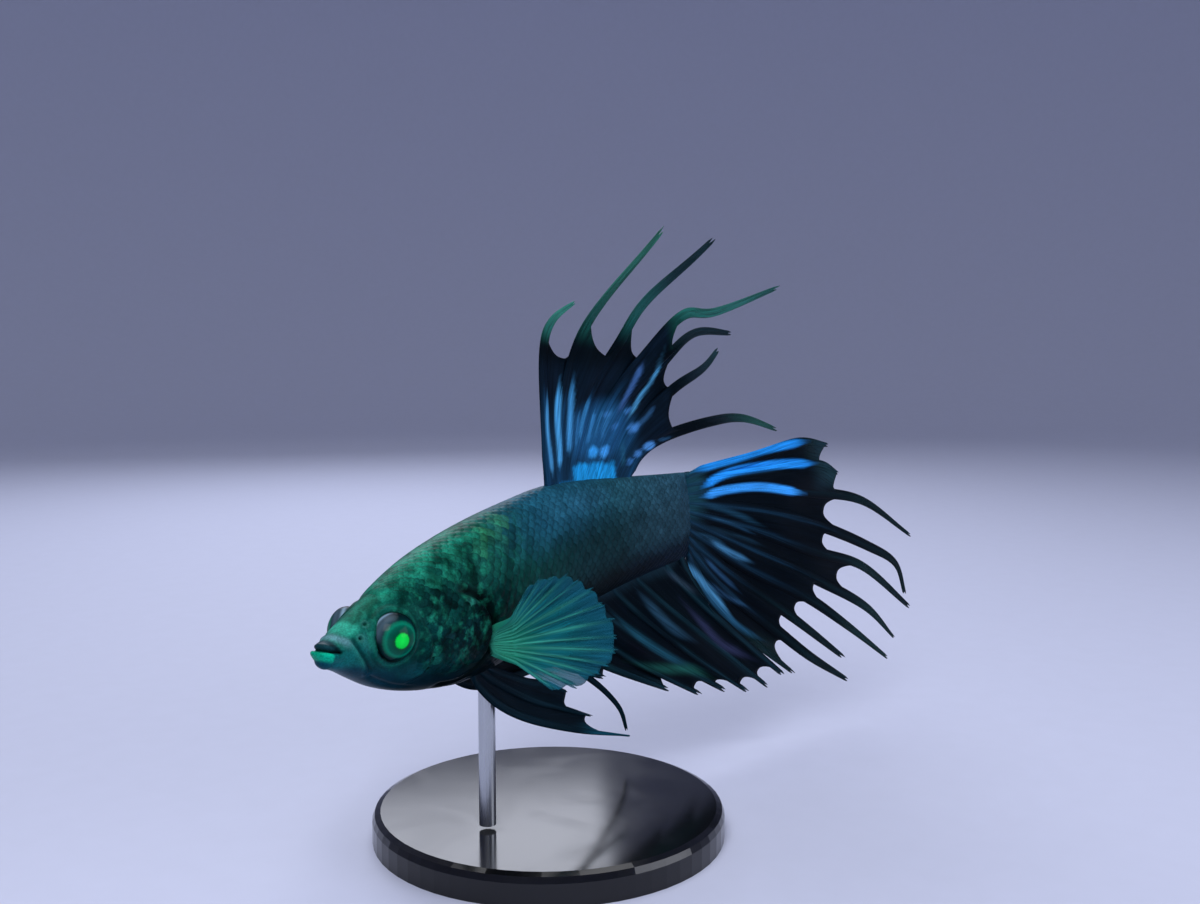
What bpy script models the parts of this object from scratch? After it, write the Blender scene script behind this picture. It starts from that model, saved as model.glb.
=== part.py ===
"""Crowntail betta (Betta splendens, adult male), a still life-size museum model on a plain stand.

World frame: metres, +Z up, the head towards -X, the left side towards -Y. The origin is the
centre of the underside of the stand's base.

The fish is drawn in body coordinates (s, w, h), in percent of the standard length:
s runs along the spine from the lips (0) to the tail root (about 97),
w runs across it towards the fish's right side, and h runs up from the spine.
place() bends the spine towards the left side, pitches the head down and lifts it over the stand.
"""

import math

import bmesh
import bpy
from mathutils import Matrix, Vector

# ---------------------------------------------------------------- driving dimensions (metres, radians)

STANDARD_LENGTH = 0.042                 # lips to tail root
SPINE_HEIGHT = 0.0200                   # middle of the spine over the table
SPINE_SHIFT = Vector((-0.0034, 0.0004))  # middle of the spine from the stand's centre
HEAD_YAW = math.radians(12)             # the head's turn away from the X axis
HEAD_PITCH = math.radians(5.5)          # the head hangs lower than the tail
TAIL_TURN = math.radians(22.8)          # the tail's turn back towards the left side
GAP = 0.0003                            # parting cut between two pieces
FIN_THICKNESS = 0.0005

BASE_RADIUS = 0.013
BASE_HEIGHT = 0.0022
BASE_ROUND = 0.0006
ROD_RADIUS = 0.0006
ROD_DEPTH = 0.0014                      # how far the rod reaches into the belly

# ---------------------------------------------------------------- proportions (percent of the length)

PERCENT = STANDARD_LENGTH / 100
GAP_SHARE = GAP / PERCENT

BEND_FROM, BEND_TO = 30, 95             # stretch of the spine that bends
NOSE_ROUND = 1.3                        # depth of the rounding of the lips
HEAD_END = 32.4
TRUNK_END = 62.0
TAIL_END = 96.6
RING_POINTS = 24

# s, back above the spine, belly below it, half width, height of the widest level
BODY = [
    (1.3, 3.2, -0.6, 1.9, 1.4),
    (3, 3.8, -1.7, 2.8, 1.0),
    (6, 4.8, -3.8, 3.9, 0.4),
    (10, 6.1, -6.4, 4.9, -0.4),
    (15, 7.8, -8.8, 6.1, -1.5),
    (20, 9.2, -10.6, 7.1, -2.3),
    (25, 10.2, -12.0, 7.8, -2.7),
    (31, 11.0, -13.1, 8.1, -2.8),
    (40, 11.8, -13.7, 7.9, -2.3),
    (50, 12.4, -13.2, 7.1, -1.3),
    (60, 12.9, -12.1, 6.0, -0.6),
    (70, 12.2, -10.9, 4.7, -0.1),
    (80, 10.9, -9.7, 3.5, 0.1),
    (90, 9.7, -8.7, 2.5, 0.3),
    (97, 9.0, -8.2, 1.8, 0.3),
]

EYE = (11.5, 4.1, 1.3)                  # centre of the eyeball: s, distance from the middle, h
EYE_RADIUS = 3.5
EYE_DEPTH = 2.7                         # half depth of the flattened ball
EYE_FORWARD = math.radians(24)          # the eye's axis, turned forward from straight sideways

# side view of the lower jaw, from the lips along the mouth and down the maxilla's crease
JAW = [(-3, 2.4), (2.2, 1.7), (4.4, 1.0), (6.4, -2.2), (9.6, -8.5), (-3, -8.5)]

GILL_COVER = (24.6, -3.2)               # centre of the gill cover, s and h
GILL_COVER_SIZE = (6.9, 6.6)            # its half length and half height
GILL_COVER_INSIDE = 3.9                 # its inner face, from the middle

ROD_AT = 41.0                           # where the rod meets the belly

POINT_SPACING = 3.6                     # along a ray's edges
TIP_WIDTH = 0.8                         # of a ray, across its tip
NOTCH_RISE = 0.04                       # share of a ray that the round end of a web takes up
ROOT_CLEARANCE = 1.0                    # between a fin's root and the body
ROOT_NARROWING = 0.12                   # share of a ray over which it widens from its root

# Fins: each ray is (s of its root, points (s, h) of the smooth line from there to its tip). A web's
# notch is the lowest point of the open edge between a ray and the next one.
DORSAL_RAYS = [
    (60.8, [(61.6, 27), (63.2, 36.6), (66, 41), (71.6, 43.8)]),
    (63.4, [(66.5, 25), (71.3, 35.5), (78, 43.6), (92.2, 55.9)]),
    (66, [(72.5, 25), (81, 35), (88.5, 43.5), (106.1, 53.4)]),
    (69.4, [(77, 23), (87, 32.3), (96, 39.2), (105, 39.2), (125.6, 42.4)]),
    (73, [(80.5, 21.5), (91, 30.4), (99, 35.6), (109.5, 34.6)]),
    (76.8, [(84, 18.8), (93.8, 25.3), (101.5, 28.6), (105.6, 32)]),
    (81, [(85, 14.2), (91.4, 16.6), (103, 17.8), (112, 17.4), (122, 13.6)]),
]
DORSAL_NOTCHES = [(68, 34.2), (77, 34), (85.5, 32.6), (93.5, 33.2), (92.4, 26.5), (92.6, 18.9)]

CAUDAL_ROOTS = 8.0, -7.4                # h of the first and the last ray's root
CAUDAL_RAYS = [
    [(112, 8.8), (128, 10), (139.5, 7.6)],
    [(116, 5.6), (134, 4.4), (142.5, 0.9)],
    [(115, 2.8), (133, -1.4), (151.5, -7), (169.4, -18.6)],
    [(116, -2.2), (133.5, -8.6), (152, -17.2), (163, -23.8), (166.5, -32)],
    [(115, -6), (133, -14.4), (150, -21.6), (168.6, -35.8)],
    [(115, -10.6), (133, -20.6), (150, -30.8), (161, -41)],
    [(113, -13.6), (129, -23.2), (143, -33.4), (157.8, -44.9)],
    [(109, -14.6), (124, -26), (141.8, -40.6)],
    [(106, -16.2), (119.5, -27.6), (131, -37.4), (143.2, -46.2)],
    [(101.6, -16.6), (111.6, -27), (127, -40.6)],
]
CAUDAL_NOTCHES = [(136.5, 5), (139.5, -0.6), (136.6, -5.9), (134.2, -11.4), (140.5, -21.2),
                  (131, -21.1), (126.8, -25), (121.6, -26.2), (122, -32.4)]

ANAL_RAYS = [
    (46.6, [(51, -16.6), (57, -19.6)]),
    (51.4, [(61.5, -20), (73, -26.2)]),
    (57.4, [(70, -21.8), (88.6, -32.8)]),
    (64, [(77.5, -22.6), (97, -36.2)]),
    (69.6, [(84, -23), (104, -37.4)]),
    (75.6, [(90, -23), (110.4, -39.4)]),
    (81.8, [(95.5, -21.8), (116.4, -40)]),
    (89.6, [(100.6, -19.8), (111.4, -30), (121, -38.6)]),
]
ANAL_NOTCHES = [(57.6, -18.4), (72, -24), (87, -29.8), (94.8, -33.2), (101.6, -34.8), (107.8, -36),
                (114, -35.8)]
ANAL_SHIFT = 2.2                        # how far its rear hangs to the left of the tail fin

# The pelvic fins differ: the left is a blade, the right is drawn out into one long curved ray.
PELVIC_RAYS = {
    "left": [
        (31.4, [(37.4, -18.2), (46, -24.2), (59, -30.6), (72, -35.6)]),
        (33.2, [(45, -19.8), (54, -24.8), (62.4, -29)]),
        (35, [(45, -17.2), (51, -19.6), (56.4, -22.6)]),
    ],
    "right": [
        (31.4, [(42, -18), (54, -20.2), (65, -21.6), (73.4, -27.8), (79.8, -35), (81.8, -40.8)]),
        (34, [(44, -15.6), (55, -17.2)]),
    ],
}
PELVIC_NOTCHES = {
    "left": [(60.6, -28.8), (55, -23.2)],
    "right": [(56, -18.6)],
}
PELVIC_ROOT_W = 3.2                     # distance of the pelvic roots from the middle
PELVIC_SPLAY = {"left": 0.1, "right": 0}  # sideways run per unit of length

# The pectoral fan: (angle above straight back, length) of its rays, which leave one short root.
PECTORAL_ROOT = (32.4, 9.2, -5.8)       # s, distance from the middle, h
PECTORAL_ROOT_HEIGHT = 3.6
PECTORAL_RAYS = [(76, 9), (50, 12), (30, 15.4), (10, 19), (-7, 22), (-19, 22.4), (-31, 19), (-54, 12)]
PECTORAL_FLARE = {"left": 0.42, "right": 0.5}

# ---------------------------------------------------------------- body coordinates


def smooth_step(x):
    x = min(max(x, 0.0), 1.0)
    return x * x * (3 - 2 * x)


def spine_heading(s):
    """Turn of the spine at s, from the head's own direction."""
    return -TAIL_TURN * smooth_step((s - BEND_FROM) / (BEND_TO - BEND_FROM))


def spine_table(end=200):
    """Points of the bent spine at every whole percent of the length."""
    points = [Vector((0.0, 0.0))]
    for s in range(end):
        heading = spine_heading(s + 0.5)
        points.append(points[-1] + Vector((math.cos(heading), math.sin(heading))))
    return points


SPINE = spine_table()
STANCE = (Matrix.Translation((SPINE_SHIFT.x, SPINE_SHIFT.y, SPINE_HEIGHT))
          @ Matrix.Rotation(HEAD_YAW, 4, 'Z') @ Matrix.Rotation(-HEAD_PITCH, 4, 'Y'))


def place(s, w, h):
    """World position of a point given in body coordinates."""
    if s <= 0:
        centre = Vector((s, 0.0))
    else:
        i = min(int(s), len(SPINE) - 2)
        centre = SPINE[i].lerp(SPINE[i + 1], s - i)
    heading = spine_heading(s)
    across = Vector((-math.sin(heading), math.cos(heading)))
    flat = centre - SPINE[50] + w * across
    return STANCE @ (Vector((flat.x, flat.y, h)) * PERCENT)


def smooth_value(table, s, column):
    """Value of a table's column at s, on a smooth curve through its rows."""
    rows = [row[0] for row in table]
    i = max(0, min(len(rows) - 2, sum(1 for r in rows[1:] if r <= s)))
    lo, hi = table[i], table[i + 1]
    before = table[max(i - 1, 0)]
    after = table[min(i + 2, len(table) - 1)]
    width = hi[0] - lo[0]
    t = min(max((s - lo[0]) / width, 0.0), 1.0)
    slope_lo = (hi[column] - before[column]) / (hi[0] - before[0]) * width
    slope_hi = (after[column] - lo[column]) / (after[0] - lo[0]) * width
    return ((2 * t**3 - 3 * t**2 + 1) * lo[column] + (t**3 - 2 * t**2 + t) * slope_lo
            + (3 * t**2 - 2 * t**3) * hi[column] + (t**3 - t**2) * slope_hi)


def section(s):
    """Back, belly, half width and widest level of the body at s, with the lips rounded off."""
    top, bottom, half, level = (smooth_value(BODY, max(s, NOSE_ROUND), c) for c in (1, 2, 3, 4))
    if s < NOSE_ROUND:
        share = math.sqrt(max(0.0, 1 - (1 - s / NOSE_ROUND)**2))
        top = level + (top - level) * share
        bottom = level + (bottom - level) * share
        half *= share
    return top, bottom, half, level


def body_ring(s):
    """Ring of body-coordinate points round the body at s: two half ellipses, back and belly."""
    top, bottom, half, level = section(s)
    ring = []
    for k in range(RING_POINTS):
        angle = 2 * math.pi * k / RING_POINTS
        rise = math.sin(angle)
        reach = (top - level) if rise > 0 else (level - bottom)
        ring.append((s, half * math.cos(angle), level + reach * rise))
    return ring


# ---------------------------------------------------------------- making objects


def clear_scene():
    for obj in list(bpy.data.objects):
        bpy.data.objects.remove(obj)


def finish_material(name, colour, roughness, metallic=0.0):
    material = bpy.data.materials.new(name)
    material.use_nodes = True
    shader = material.node_tree.nodes["Principled BSDF"]
    shader.inputs["Base Color"].default_value = (*colour, 1)
    shader.inputs["Roughness"].default_value = roughness
    shader.inputs["Metallic"].default_value = metallic
    return material


def make_object(name, bm, material, parent=None, smooth_angle=math.radians(40)):
    """Turn a bmesh into a named object, faces outward, smooth except at sharp edges."""
    bmesh.ops.recalc_face_normals(bm, faces=bm.faces)
    mesh = bpy.data.meshes.new(name)
    bm.to_mesh(mesh)
    bm.free()
    mesh.shade_smooth()
    mesh.set_sharp_from_angle(angle=smooth_angle)
    if material:
        mesh.materials.append(material)
    obj = bpy.data.objects.new(name, mesh)
    bpy.context.scene.collection.objects.link(obj)
    obj.parent = parent
    return obj


def loft(rings):
    """Closed bmesh through rings of body-coordinate points; a ring of one point is a pole."""
    bm = bmesh.new()
    made = [[bm.verts.new(place(*point)) for point in ring] for ring in rings]
    for low, high in zip(made, made[1:]):
        count = max(len(low), len(high))
        for k in range(count):
            corners = [low[k % len(low)], low[(k + 1) % len(low)],
                       high[(k + 1) % len(high)], high[k % len(high)]]
            bm.faces.new(list(dict.fromkeys(corners)))
    for ring in (made[0], made[-1]):
        if len(ring) > 1:
            bm.faces.new(ring)
    bmesh.ops.triangulate(bm, faces=bm.faces)
    return bm


def grown(outline, amount):
    """The outline moved outwards by an amount."""
    area = sum(a[0] * b[1] - b[0] * a[1] for a, b in zip(outline, outline[1:] + outline[:1]))
    turn = 1 if area > 0 else -1
    result = []
    for i, corner in enumerate(outline):
        corner = Vector(corner)
        back = (corner - Vector(outline[i - 1])).normalized()
        ahead = (Vector(outline[(i + 1) % len(outline)]) - corner).normalized()
        out = (Vector((back.y, -back.x)) + Vector((ahead.y, -ahead.x))) * turn
        out.normalize()
        spread = max(0.5, out.dot(Vector((ahead.y, -ahead.x)) * turn))
        result.append(tuple(corner + out * (amount / spread)))
    return result


def prism(outline, w_from, w_to):
    """Closed bmesh: a side-view outline (s, h) drawn out across the body."""
    return loft([[(s, w, h) for s, h in outline] for w in (w_from, w_to)])


def cutter(name, bm):
    obj = make_object(name, bm, None)
    obj.hide_render = True
    obj.display_type = 'WIRE'
    return obj


def boolean(obj, tool, operation='DIFFERENCE'):
    modifier = obj.modifiers.new(tool.name, 'BOOLEAN')
    modifier.operation = operation
    modifier.solver = 'EXACT'
    modifier.object = tool


# ---------------------------------------------------------------- the head


def head_rings():
    stations = [0.25, 0.8, 1.6, 3, 4.6, 6.4, 8.4, 10.6, 13, 15.6, 18.4, 21.4, 24.6, 28, HEAD_END]
    return [[(0, 0, section(0)[3])]] + [body_ring(s) for s in stations]


def eye_shape(side, extra):
    """Flattened ball of one eye, grown by an extra share; its axis looks out and forward."""
    rings, points = 9, 16
    axis_turn = Matrix.Rotation(side * EYE_FORWARD, 3, 'Z')
    s, w, h = EYE
    made = []
    for i in range(rings + 1):
        polar = math.pi * i / rings
        ring = []
        for k in range(points if 0 < i < rings else 1):
            angle = 2 * math.pi * k / points
            across = (EYE_RADIUS + extra) * math.sin(polar)
            point = axis_turn @ Vector((across * math.cos(angle),
                                        side * (EYE_DEPTH + extra) * math.cos(polar),
                                        across * math.sin(angle)))
            ring.append((s + point.x, side * w + point.y, h + point.z))
        made.append(ring)
    return loft(made)


def gill_outline():
    points = 22
    outline = []
    for k in range(points):
        angle = 2 * math.pi * k / points
        outline.append((GILL_COVER[0] + GILL_COVER_SIZE[0] * math.cos(angle),
                        GILL_COVER[1] + GILL_COVER_SIZE[1] * math.sin(angle)))
    return outline


def gill_prism(side, extra):
    inner = side * (GILL_COVER_INSIDE - extra)
    return prism(grown(gill_outline(), extra), inner, side * 14)


def build_head(parent):
    skin = finish_material("head skin", (0.02, 0.12, 0.07), 0.4)
    dark = finish_material("jaw skin", (0.01, 0.09, 0.06), 0.4)
    eye_gloss = finish_material("eye", (0.01, 0.06, 0.03), 0.08)

    head = make_object("head", loft(head_rings()), skin, parent)
    boolean(head, cutter("jaw_cut", prism(grown(JAW, GAP_SHARE), -9, 9)))

    jaw = make_object("jaw_lower", loft(head_rings()), dark, parent)
    boolean(jaw, cutter("jaw_shape", prism(JAW, -9, 9)), 'INTERSECT')

    for side, label in ((-1, "left"), (1, "right")):
        boolean(head, cutter(f"gill_cut_{label}", gill_prism(side, GAP_SHARE)))
        boolean(head, cutter(f"socket_{label}", eye_shape(side, GAP_SHARE)))
        cover = make_object(f"gill_cover_{label}", loft(head_rings()), skin, parent)
        boolean(cover, cutter(f"gill_shape_{label}", gill_prism(side, 0)), 'INTERSECT')
        make_object(f"eye_{label}", eye_shape(side, 0), eye_gloss, parent)


# ---------------------------------------------------------------- trunk and tail


def build_body(parent):
    skin = finish_material("body skin", (0.02, 0.08, 0.09), 0.4)
    trunk_stations = [HEAD_END + GAP_SHARE, 37, 42, 47, 52, 57, TRUNK_END]
    trunk = make_object("trunk", loft([body_ring(s) for s in trunk_stations]), skin, parent)
    boolean(trunk, cutter("rod_hole", rod_shape(GAP, -1)))
    tail_stations = [TRUNK_END + GAP_SHARE, 67, 72, 77, 82, 87, 91, 94, TAIL_END]
    make_object("tail_root", loft([body_ring(s) for s in tail_stations]), skin, parent)


# ---------------------------------------------------------------- fins


def curve_point(points, t):
    """Point of a smooth curve through the points, t from 0 at the first to 1 at the last."""
    spans = len(points) - 1
    i = min(int(t * spans), spans - 1)
    u = t * spans - i
    p1, p2 = Vector(points[i]), Vector(points[i + 1])
    p0 = Vector(points[i - 1]) if i > 0 else p1 * 2 - p2
    p3 = Vector(points[i + 2]) if i + 2 <= spans else p2 * 2 - p1
    return 0.5 * (2 * p1 + (p2 - p0) * u + (2 * p0 - 5 * p1 + 4 * p2 - p3) * u**2
                  + (3 * p1 - p0 - 3 * p2 + p3) * u**3)


def nearest_share(points, target):
    """Share along a ray of its nearest point to a target."""
    steps = 60
    return min((k / steps for k in range(steps + 1)),
               key=lambda t: (curve_point(points, t) - Vector(target)).length)


def ray_length(points):
    return sum((Vector(b) - Vector(a)).length for a, b in zip(points, points[1:]))


def ray_side(points, t_from, t_to, side, base_width):
    """Points along one edge of a ray, which keeps its width for most of its run and then tapers."""
    steps = max(1, round(abs(t_to - t_from) * ray_length(points) / POINT_SPACING))
    result = []
    for k in range(steps + 1):
        t = t_from + (t_to - t_from) * k / steps
        along = curve_point(points, min(t + 0.01, 1)) - curve_point(points, max(t - 0.01, 0))
        along.normalize()
        half = 0.5 * (base_width + (TIP_WIDTH - base_width) * t**3) * min(1, t / ROOT_NARROWING)
        result.append(curve_point(points, t) + Vector((-along.y, along.x)) * half * side)
    return result


def notch_edge(start, notch, end):
    """Round bottom of the open edge between two rays: three points of an arc through the notch."""
    bend = Vector(notch) * 2 - (start + end) / 2
    return [start * (1 - t)**2 + bend * 2 * t * (1 - t) + end * t**2 for t in (0.25, 0.5, 0.75)]


def fin_outline(rays, notches, base_width, head_side=1):
    """Closed outline of a fin: up each ray, round its tip, down to the notch, and back along the root.

    head_side is the side of a ray, seen from its root, on which the ray before it lies.
    """
    outline = []
    for i, ray in enumerate(rays):
        start = 0.0 if i == 0 else min(0.95, nearest_share(ray, notches[i - 1]) + NOTCH_RISE)
        end = 0.0 if i == len(rays) - 1 else min(0.95, nearest_share(ray, notches[i]) + NOTCH_RISE)
        rising = ray_side(ray, start, 1, head_side, base_width)
        if i > 0:
            outline += notch_edge(outline[-1], notches[i - 1], rising[0])
        outline += rising + ray_side(ray, 1, end, -head_side, base_width)
    return outline + [Vector(ray[0]) for ray in reversed(rays[1:-1])]


def rooted(rays, column, side):
    """The rays with their roots set just clear of the back (column 0) or the belly (column 1)."""
    return [[(s, section(s)[column] + side * ROOT_CLEARANCE)] + points for s, points in rays]


def caudal_rays():
    first, last = CAUDAL_ROOTS
    root_s = TAIL_END + ROOT_CLEARANCE
    step = (last - first) / (len(CAUDAL_RAYS) - 1)
    return [[(root_s, first + step * i)] + points for i, points in enumerate(CAUDAL_RAYS)]


def fin(name, outline, material, parent, sway, cut_step=7.0):
    """A fin's sheet: the filled outline, cut into strips that follow the sway, and thickened."""
    bm = bmesh.new()
    verts = [bm.verts.new((p.x, 0, p.y)) for p in outline]
    edges = [bm.edges.new(pair) for pair in zip(verts, verts[1:] + verts[:1])]
    bmesh.ops.triangle_fill(bm, use_beauty=True, use_dissolve=False, edges=edges)
    for axis, normal in ((0, (1, 0, 0)), (2, (0, 0, 1))):
        low = min(v.co[axis] for v in bm.verts)
        high = max(v.co[axis] for v in bm.verts)
        cuts = int((high - low) / cut_step)
        for k in range(1, cuts + 1):
            level = low + (high - low) * k / (cuts + 1)
            everything = bm.verts[:] + bm.edges[:] + bm.faces[:]
            bmesh.ops.bisect_plane(bm, geom=everything, dist=1e-4,
                                   plane_co=Vector(normal) * level, plane_no=normal)
    bmesh.ops.remove_doubles(bm, verts=bm.verts, dist=0.05)
    bmesh.ops.triangulate(bm, faces=bm.faces)
    for vert in bm.verts:
        s, h = vert.co.x, vert.co.z
        vert.co = place(s, sway(s, h), h)
    obj = make_object(name, bm, material, parent)
    solid = obj.modifiers.new("thickness", 'SOLIDIFY')
    solid.thickness = FIN_THICKNESS
    solid.offset = 0
    return obj


def median_sway(s, h, reach=1.4):
    """Gentle sideways wave of the fins in the middle plane, growing away from the body."""
    away = max(0.0, abs(h) - 12, s - TAIL_END)
    return reach * smooth_step(away / 30) * math.sin(0.09 * s + 0.05 * h)


def anal_sway(s, h):
    """The anal fin hangs beside the tail fin, on its left."""
    return -ANAL_SHIFT * smooth_step((-h - 12) / 12) * smooth_step((s - 60) / 30)


def pectoral_outline():
    s, _, h = PECTORAL_ROOT
    half = PECTORAL_ROOT_HEIGHT / 2
    rim = []
    for i, (angle, length) in enumerate(PECTORAL_RAYS):
        turn = math.radians(angle)
        rim.append(Vector((s + length * math.cos(turn), h + length * math.sin(turn))))
        if i < len(PECTORAL_RAYS) - 1:
            next_angle, next_length = PECTORAL_RAYS[i + 1]
            turn = math.radians((angle + next_angle) / 2)
            length = (length + next_length) / 2
            rim.append(Vector((s + length * math.cos(turn), h + length * math.sin(turn))))
    return [Vector((s, h - half)), Vector((s, h + half))] + rim


def build_fins(parent):
    dark = finish_material("fin dark", (0.01, 0.05, 0.06), 0.5)
    blue = finish_material("fin blue", (0.03, 0.18, 0.5), 0.4)
    teal = finish_material("fin teal", (0.01, 0.25, 0.2), 0.4)

    dorsal = fin_outline(rooted(DORSAL_RAYS, 0, 1), DORSAL_NOTCHES, 2.4)
    fin("dorsal_fin", dorsal, blue, parent, median_sway)
    caudal = fin_outline(caudal_rays(), CAUDAL_NOTCHES, 2.6)
    fin("caudal_fin", caudal, dark, parent, median_sway)
    anal = fin_outline(rooted(ANAL_RAYS, 1, -1), ANAL_NOTCHES, 1.8, head_side=-1)
    fin("anal_fin", anal, dark, parent, anal_sway)

    for side, label in ((-1, "left"), (1, "right")):
        root_s, root_w, root_h = PECTORAL_ROOT

        def pectoral_sway(s, h, side=side, flare=PECTORAL_FLARE[label]):
            return side * (root_w + flare * math.hypot(s - root_s, h - root_h))

        def pelvic_sway(s, h, side=side, splay=PELVIC_SPLAY[label]):
            return side * (PELVIC_ROOT_W + splay * math.hypot(s - 33, h + 13))

        fin(f"pectoral_fin_{label}", pectoral_outline(), teal, parent, pectoral_sway)
        pelvic = fin_outline(rooted(PELVIC_RAYS[label], 1, -0.6), PELVIC_NOTCHES[label], 1.6, head_side=-1)
        fin(f"pelvic_fin_{label}", pelvic, dark, parent, pelvic_sway)


# ---------------------------------------------------------------- the stand


def rod_shape(extra, below):
    """Upright rod from the base to just inside the belly; extra grows it into its hole."""
    foot = place(ROD_AT, 0, section(ROD_AT)[1])
    bottom = BASE_HEIGHT + GAP if below >= 0 else foot.z - 0.003
    top = foot.z + ROD_DEPTH + extra
    bm = bmesh.new()
    bmesh.ops.create_cone(bm, cap_ends=True, segments=20, radius1=ROD_RADIUS + extra,
                          radius2=ROD_RADIUS + extra, depth=top - bottom,
                          matrix=Matrix.Translation((foot.x, foot.y, (top + bottom) / 2)))
    return bm


def build_stand(parent):
    steel = finish_material("stand steel", (0.6, 0.6, 0.6), 0.3, 1.0)
    plate = finish_material("stand plate", (0.02, 0.02, 0.02), 0.35)
    bm = bmesh.new()
    bmesh.ops.create_cone(bm, cap_ends=True, segments=64, radius1=BASE_RADIUS, radius2=BASE_RADIUS,
                          depth=BASE_HEIGHT, matrix=Matrix.Translation((0, 0, BASE_HEIGHT / 2)))
    rim = [e for e in bm.edges if all(v.co.z > BASE_HEIGHT / 2 for v in e.verts)]
    bmesh.ops.bevel(bm, geom=rim, offset=BASE_ROUND, segments=2, affect='EDGES', profile=0.5)
    make_object("stand_base", bm, plate, parent)
    make_object("stand_rod", rod_shape(0, 0), steel, parent)


def main():
    clear_scene()
    betta = bpy.data.objects.new("betta", None)
    bpy.context.scene.collection.objects.link(betta)
    build_head(betta)
    build_body(betta)
    build_fins(betta)
    build_stand(betta)


main()
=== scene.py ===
"""Looks of the crowntail betta model: skin, scales, eyes, rayed fins and the stand's finishes.

Everything on the fish is drawn in body coordinates (s, w, h), in percent of its standard length:
s runs along the spine from the lips to the tail root, w runs across it towards the right side and
h runs up from it. place() turns them into metres in the frame's own axes.
"""

import math

import bpy
import numpy as np
from mathutils import Matrix, Vector


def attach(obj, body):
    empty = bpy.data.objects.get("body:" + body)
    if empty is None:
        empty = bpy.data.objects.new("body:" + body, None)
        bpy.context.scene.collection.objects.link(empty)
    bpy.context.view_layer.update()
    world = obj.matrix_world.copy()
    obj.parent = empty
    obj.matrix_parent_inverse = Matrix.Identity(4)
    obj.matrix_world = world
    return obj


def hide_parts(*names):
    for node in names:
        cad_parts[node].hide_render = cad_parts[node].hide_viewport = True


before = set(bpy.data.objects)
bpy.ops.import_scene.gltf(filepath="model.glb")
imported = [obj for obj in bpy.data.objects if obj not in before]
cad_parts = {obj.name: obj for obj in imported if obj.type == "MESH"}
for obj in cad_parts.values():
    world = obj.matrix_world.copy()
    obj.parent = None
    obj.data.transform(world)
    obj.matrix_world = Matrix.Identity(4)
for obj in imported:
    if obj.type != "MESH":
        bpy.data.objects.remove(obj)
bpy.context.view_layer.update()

# ------------------------------------------------------------------ the fish's size and stance

LENGTH = 0.042                          # lips to tail root, in metres
PERCENT = LENGTH / 100
MILLIMETRE = 0.001 / PERCENT            # one millimetre, in percent of the length
SPINE_HEIGHT = 0.0200                   # of the spine's middle over the floor, in metres
SPINE_SHIFT = (-0.0034, 0.0004)         # of the spine's middle from the frame's origin
SPINE_MIDDLE = 50
HEAD_YAW = math.radians(12)             # turn of the head about the vertical
HEAD_PITCH = math.radians(5.5)          # how far the head points down
TAIL_TURN = math.radians(22.8)          # turn of the tail against the head
BEND_FROM, BEND_TO = 30, 95             # stretch of the spine that bends
NOSE_ROUND = 1.3                        # depth of the rounding of the lips

# s, back, belly, half width, height of the widest level
BODY = np.array([
    (1.3, 3.2, -0.6, 1.9, 1.4),
    (3, 3.8, -1.7, 2.8, 1.0),
    (6, 4.8, -3.8, 3.9, 0.4),
    (10, 6.1, -6.4, 4.9, -0.4),
    (15, 7.8, -8.8, 6.1, -1.5),
    (20, 9.2, -10.6, 7.1, -2.3),
    (25, 10.2, -12.0, 7.8, -2.7),
    (31, 11.0, -13.1, 8.1, -2.8),
    (40, 11.8, -13.7, 7.9, -2.3),
    (50, 12.4, -13.2, 7.1, -1.3),
    (60, 12.9, -12.1, 6.0, -0.6),
    (70, 12.2, -10.9, 4.7, -0.1),
    (80, 10.9, -9.7, 3.5, 0.1),
    (90, 9.7, -8.7, 2.5, 0.3),
    (97, 9.0, -8.2, 1.8, 0.3),
])
SKIN_END = 99.8                         # end of the skin, a little inside the tail fin's root
TAIL_ROUNDING = 96.8                    # where the tail root starts to round off
TAIL_FLATTENING = 93                    # where it starts to flatten into the fin
COAT_DEPTH = 0.09 * MILLIMETRE          # the scales' depth over the skin

EYE = (11.5, 4.1, 1.3)                  # centre of the eyeball: s, distance from the middle, h
EYE_RADIUS = 3.5
EYE_DEPTH = 2.7                         # from its middle to the lens, along its axis
EYE_FORWARD = math.radians(24)          # how far its axis turns towards the lips
LENS_BULGE = 0.16

HEAD_END = 36                           # s past which no face or gill form reaches
GILL_CENTRE = (24.6, -3.2)              # of the gill cover's round edge, (s, h)
GILL_SIZE = (6.9, 6.6)                  # its half length and half height

# lines on the side of the head, (s, h)
GAPE = [(-0.8, 2.6), (0.3, 2.5), (1.0, 2.25), (2.1, 1.8)]
LIP_BAND = [(2.6, 4.0), (3.1, 3.4), (3.9, 2.4), (4.9, 0.2), (6.2, -2.0)]
LIP_CREASE = [(4.5, 3.5), (4.6, 2.1), (5.4, 0.0), (6.6, -2.1), (7.2, -3.2)]
JAW_LINE = [(6.8, -3.2), (9.4, -5.0), (13.0, -7.0), (17.5, -8.6)]
CHEEK_LINE = [(16.4, 3.6), (17.6, 1.2), (18.0, -2.6), (16.6, -6.0), (13.4, -7.4)]
NOSTRILS = [(5.7, 3.1, 2.9), (7.6, 2.5, 4.3)]    # s, distance from the middle, h

# ------------------------------------------------------------------ colours


def linear(code):
    """Linear colour of an sRGB hex value."""
    srgb = np.array([int(code[i:i + 2], 16) / 255 for i in (1, 3, 5)])
    return np.where(srgb <= 0.04045, srgb / 12.92, ((srgb + 0.055) / 1.055) ** 2.4)


def rgba(code):
    """Opaque linear colour of an sRGB hex value, for a node's socket."""
    return (*linear(code), 1.0)


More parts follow.
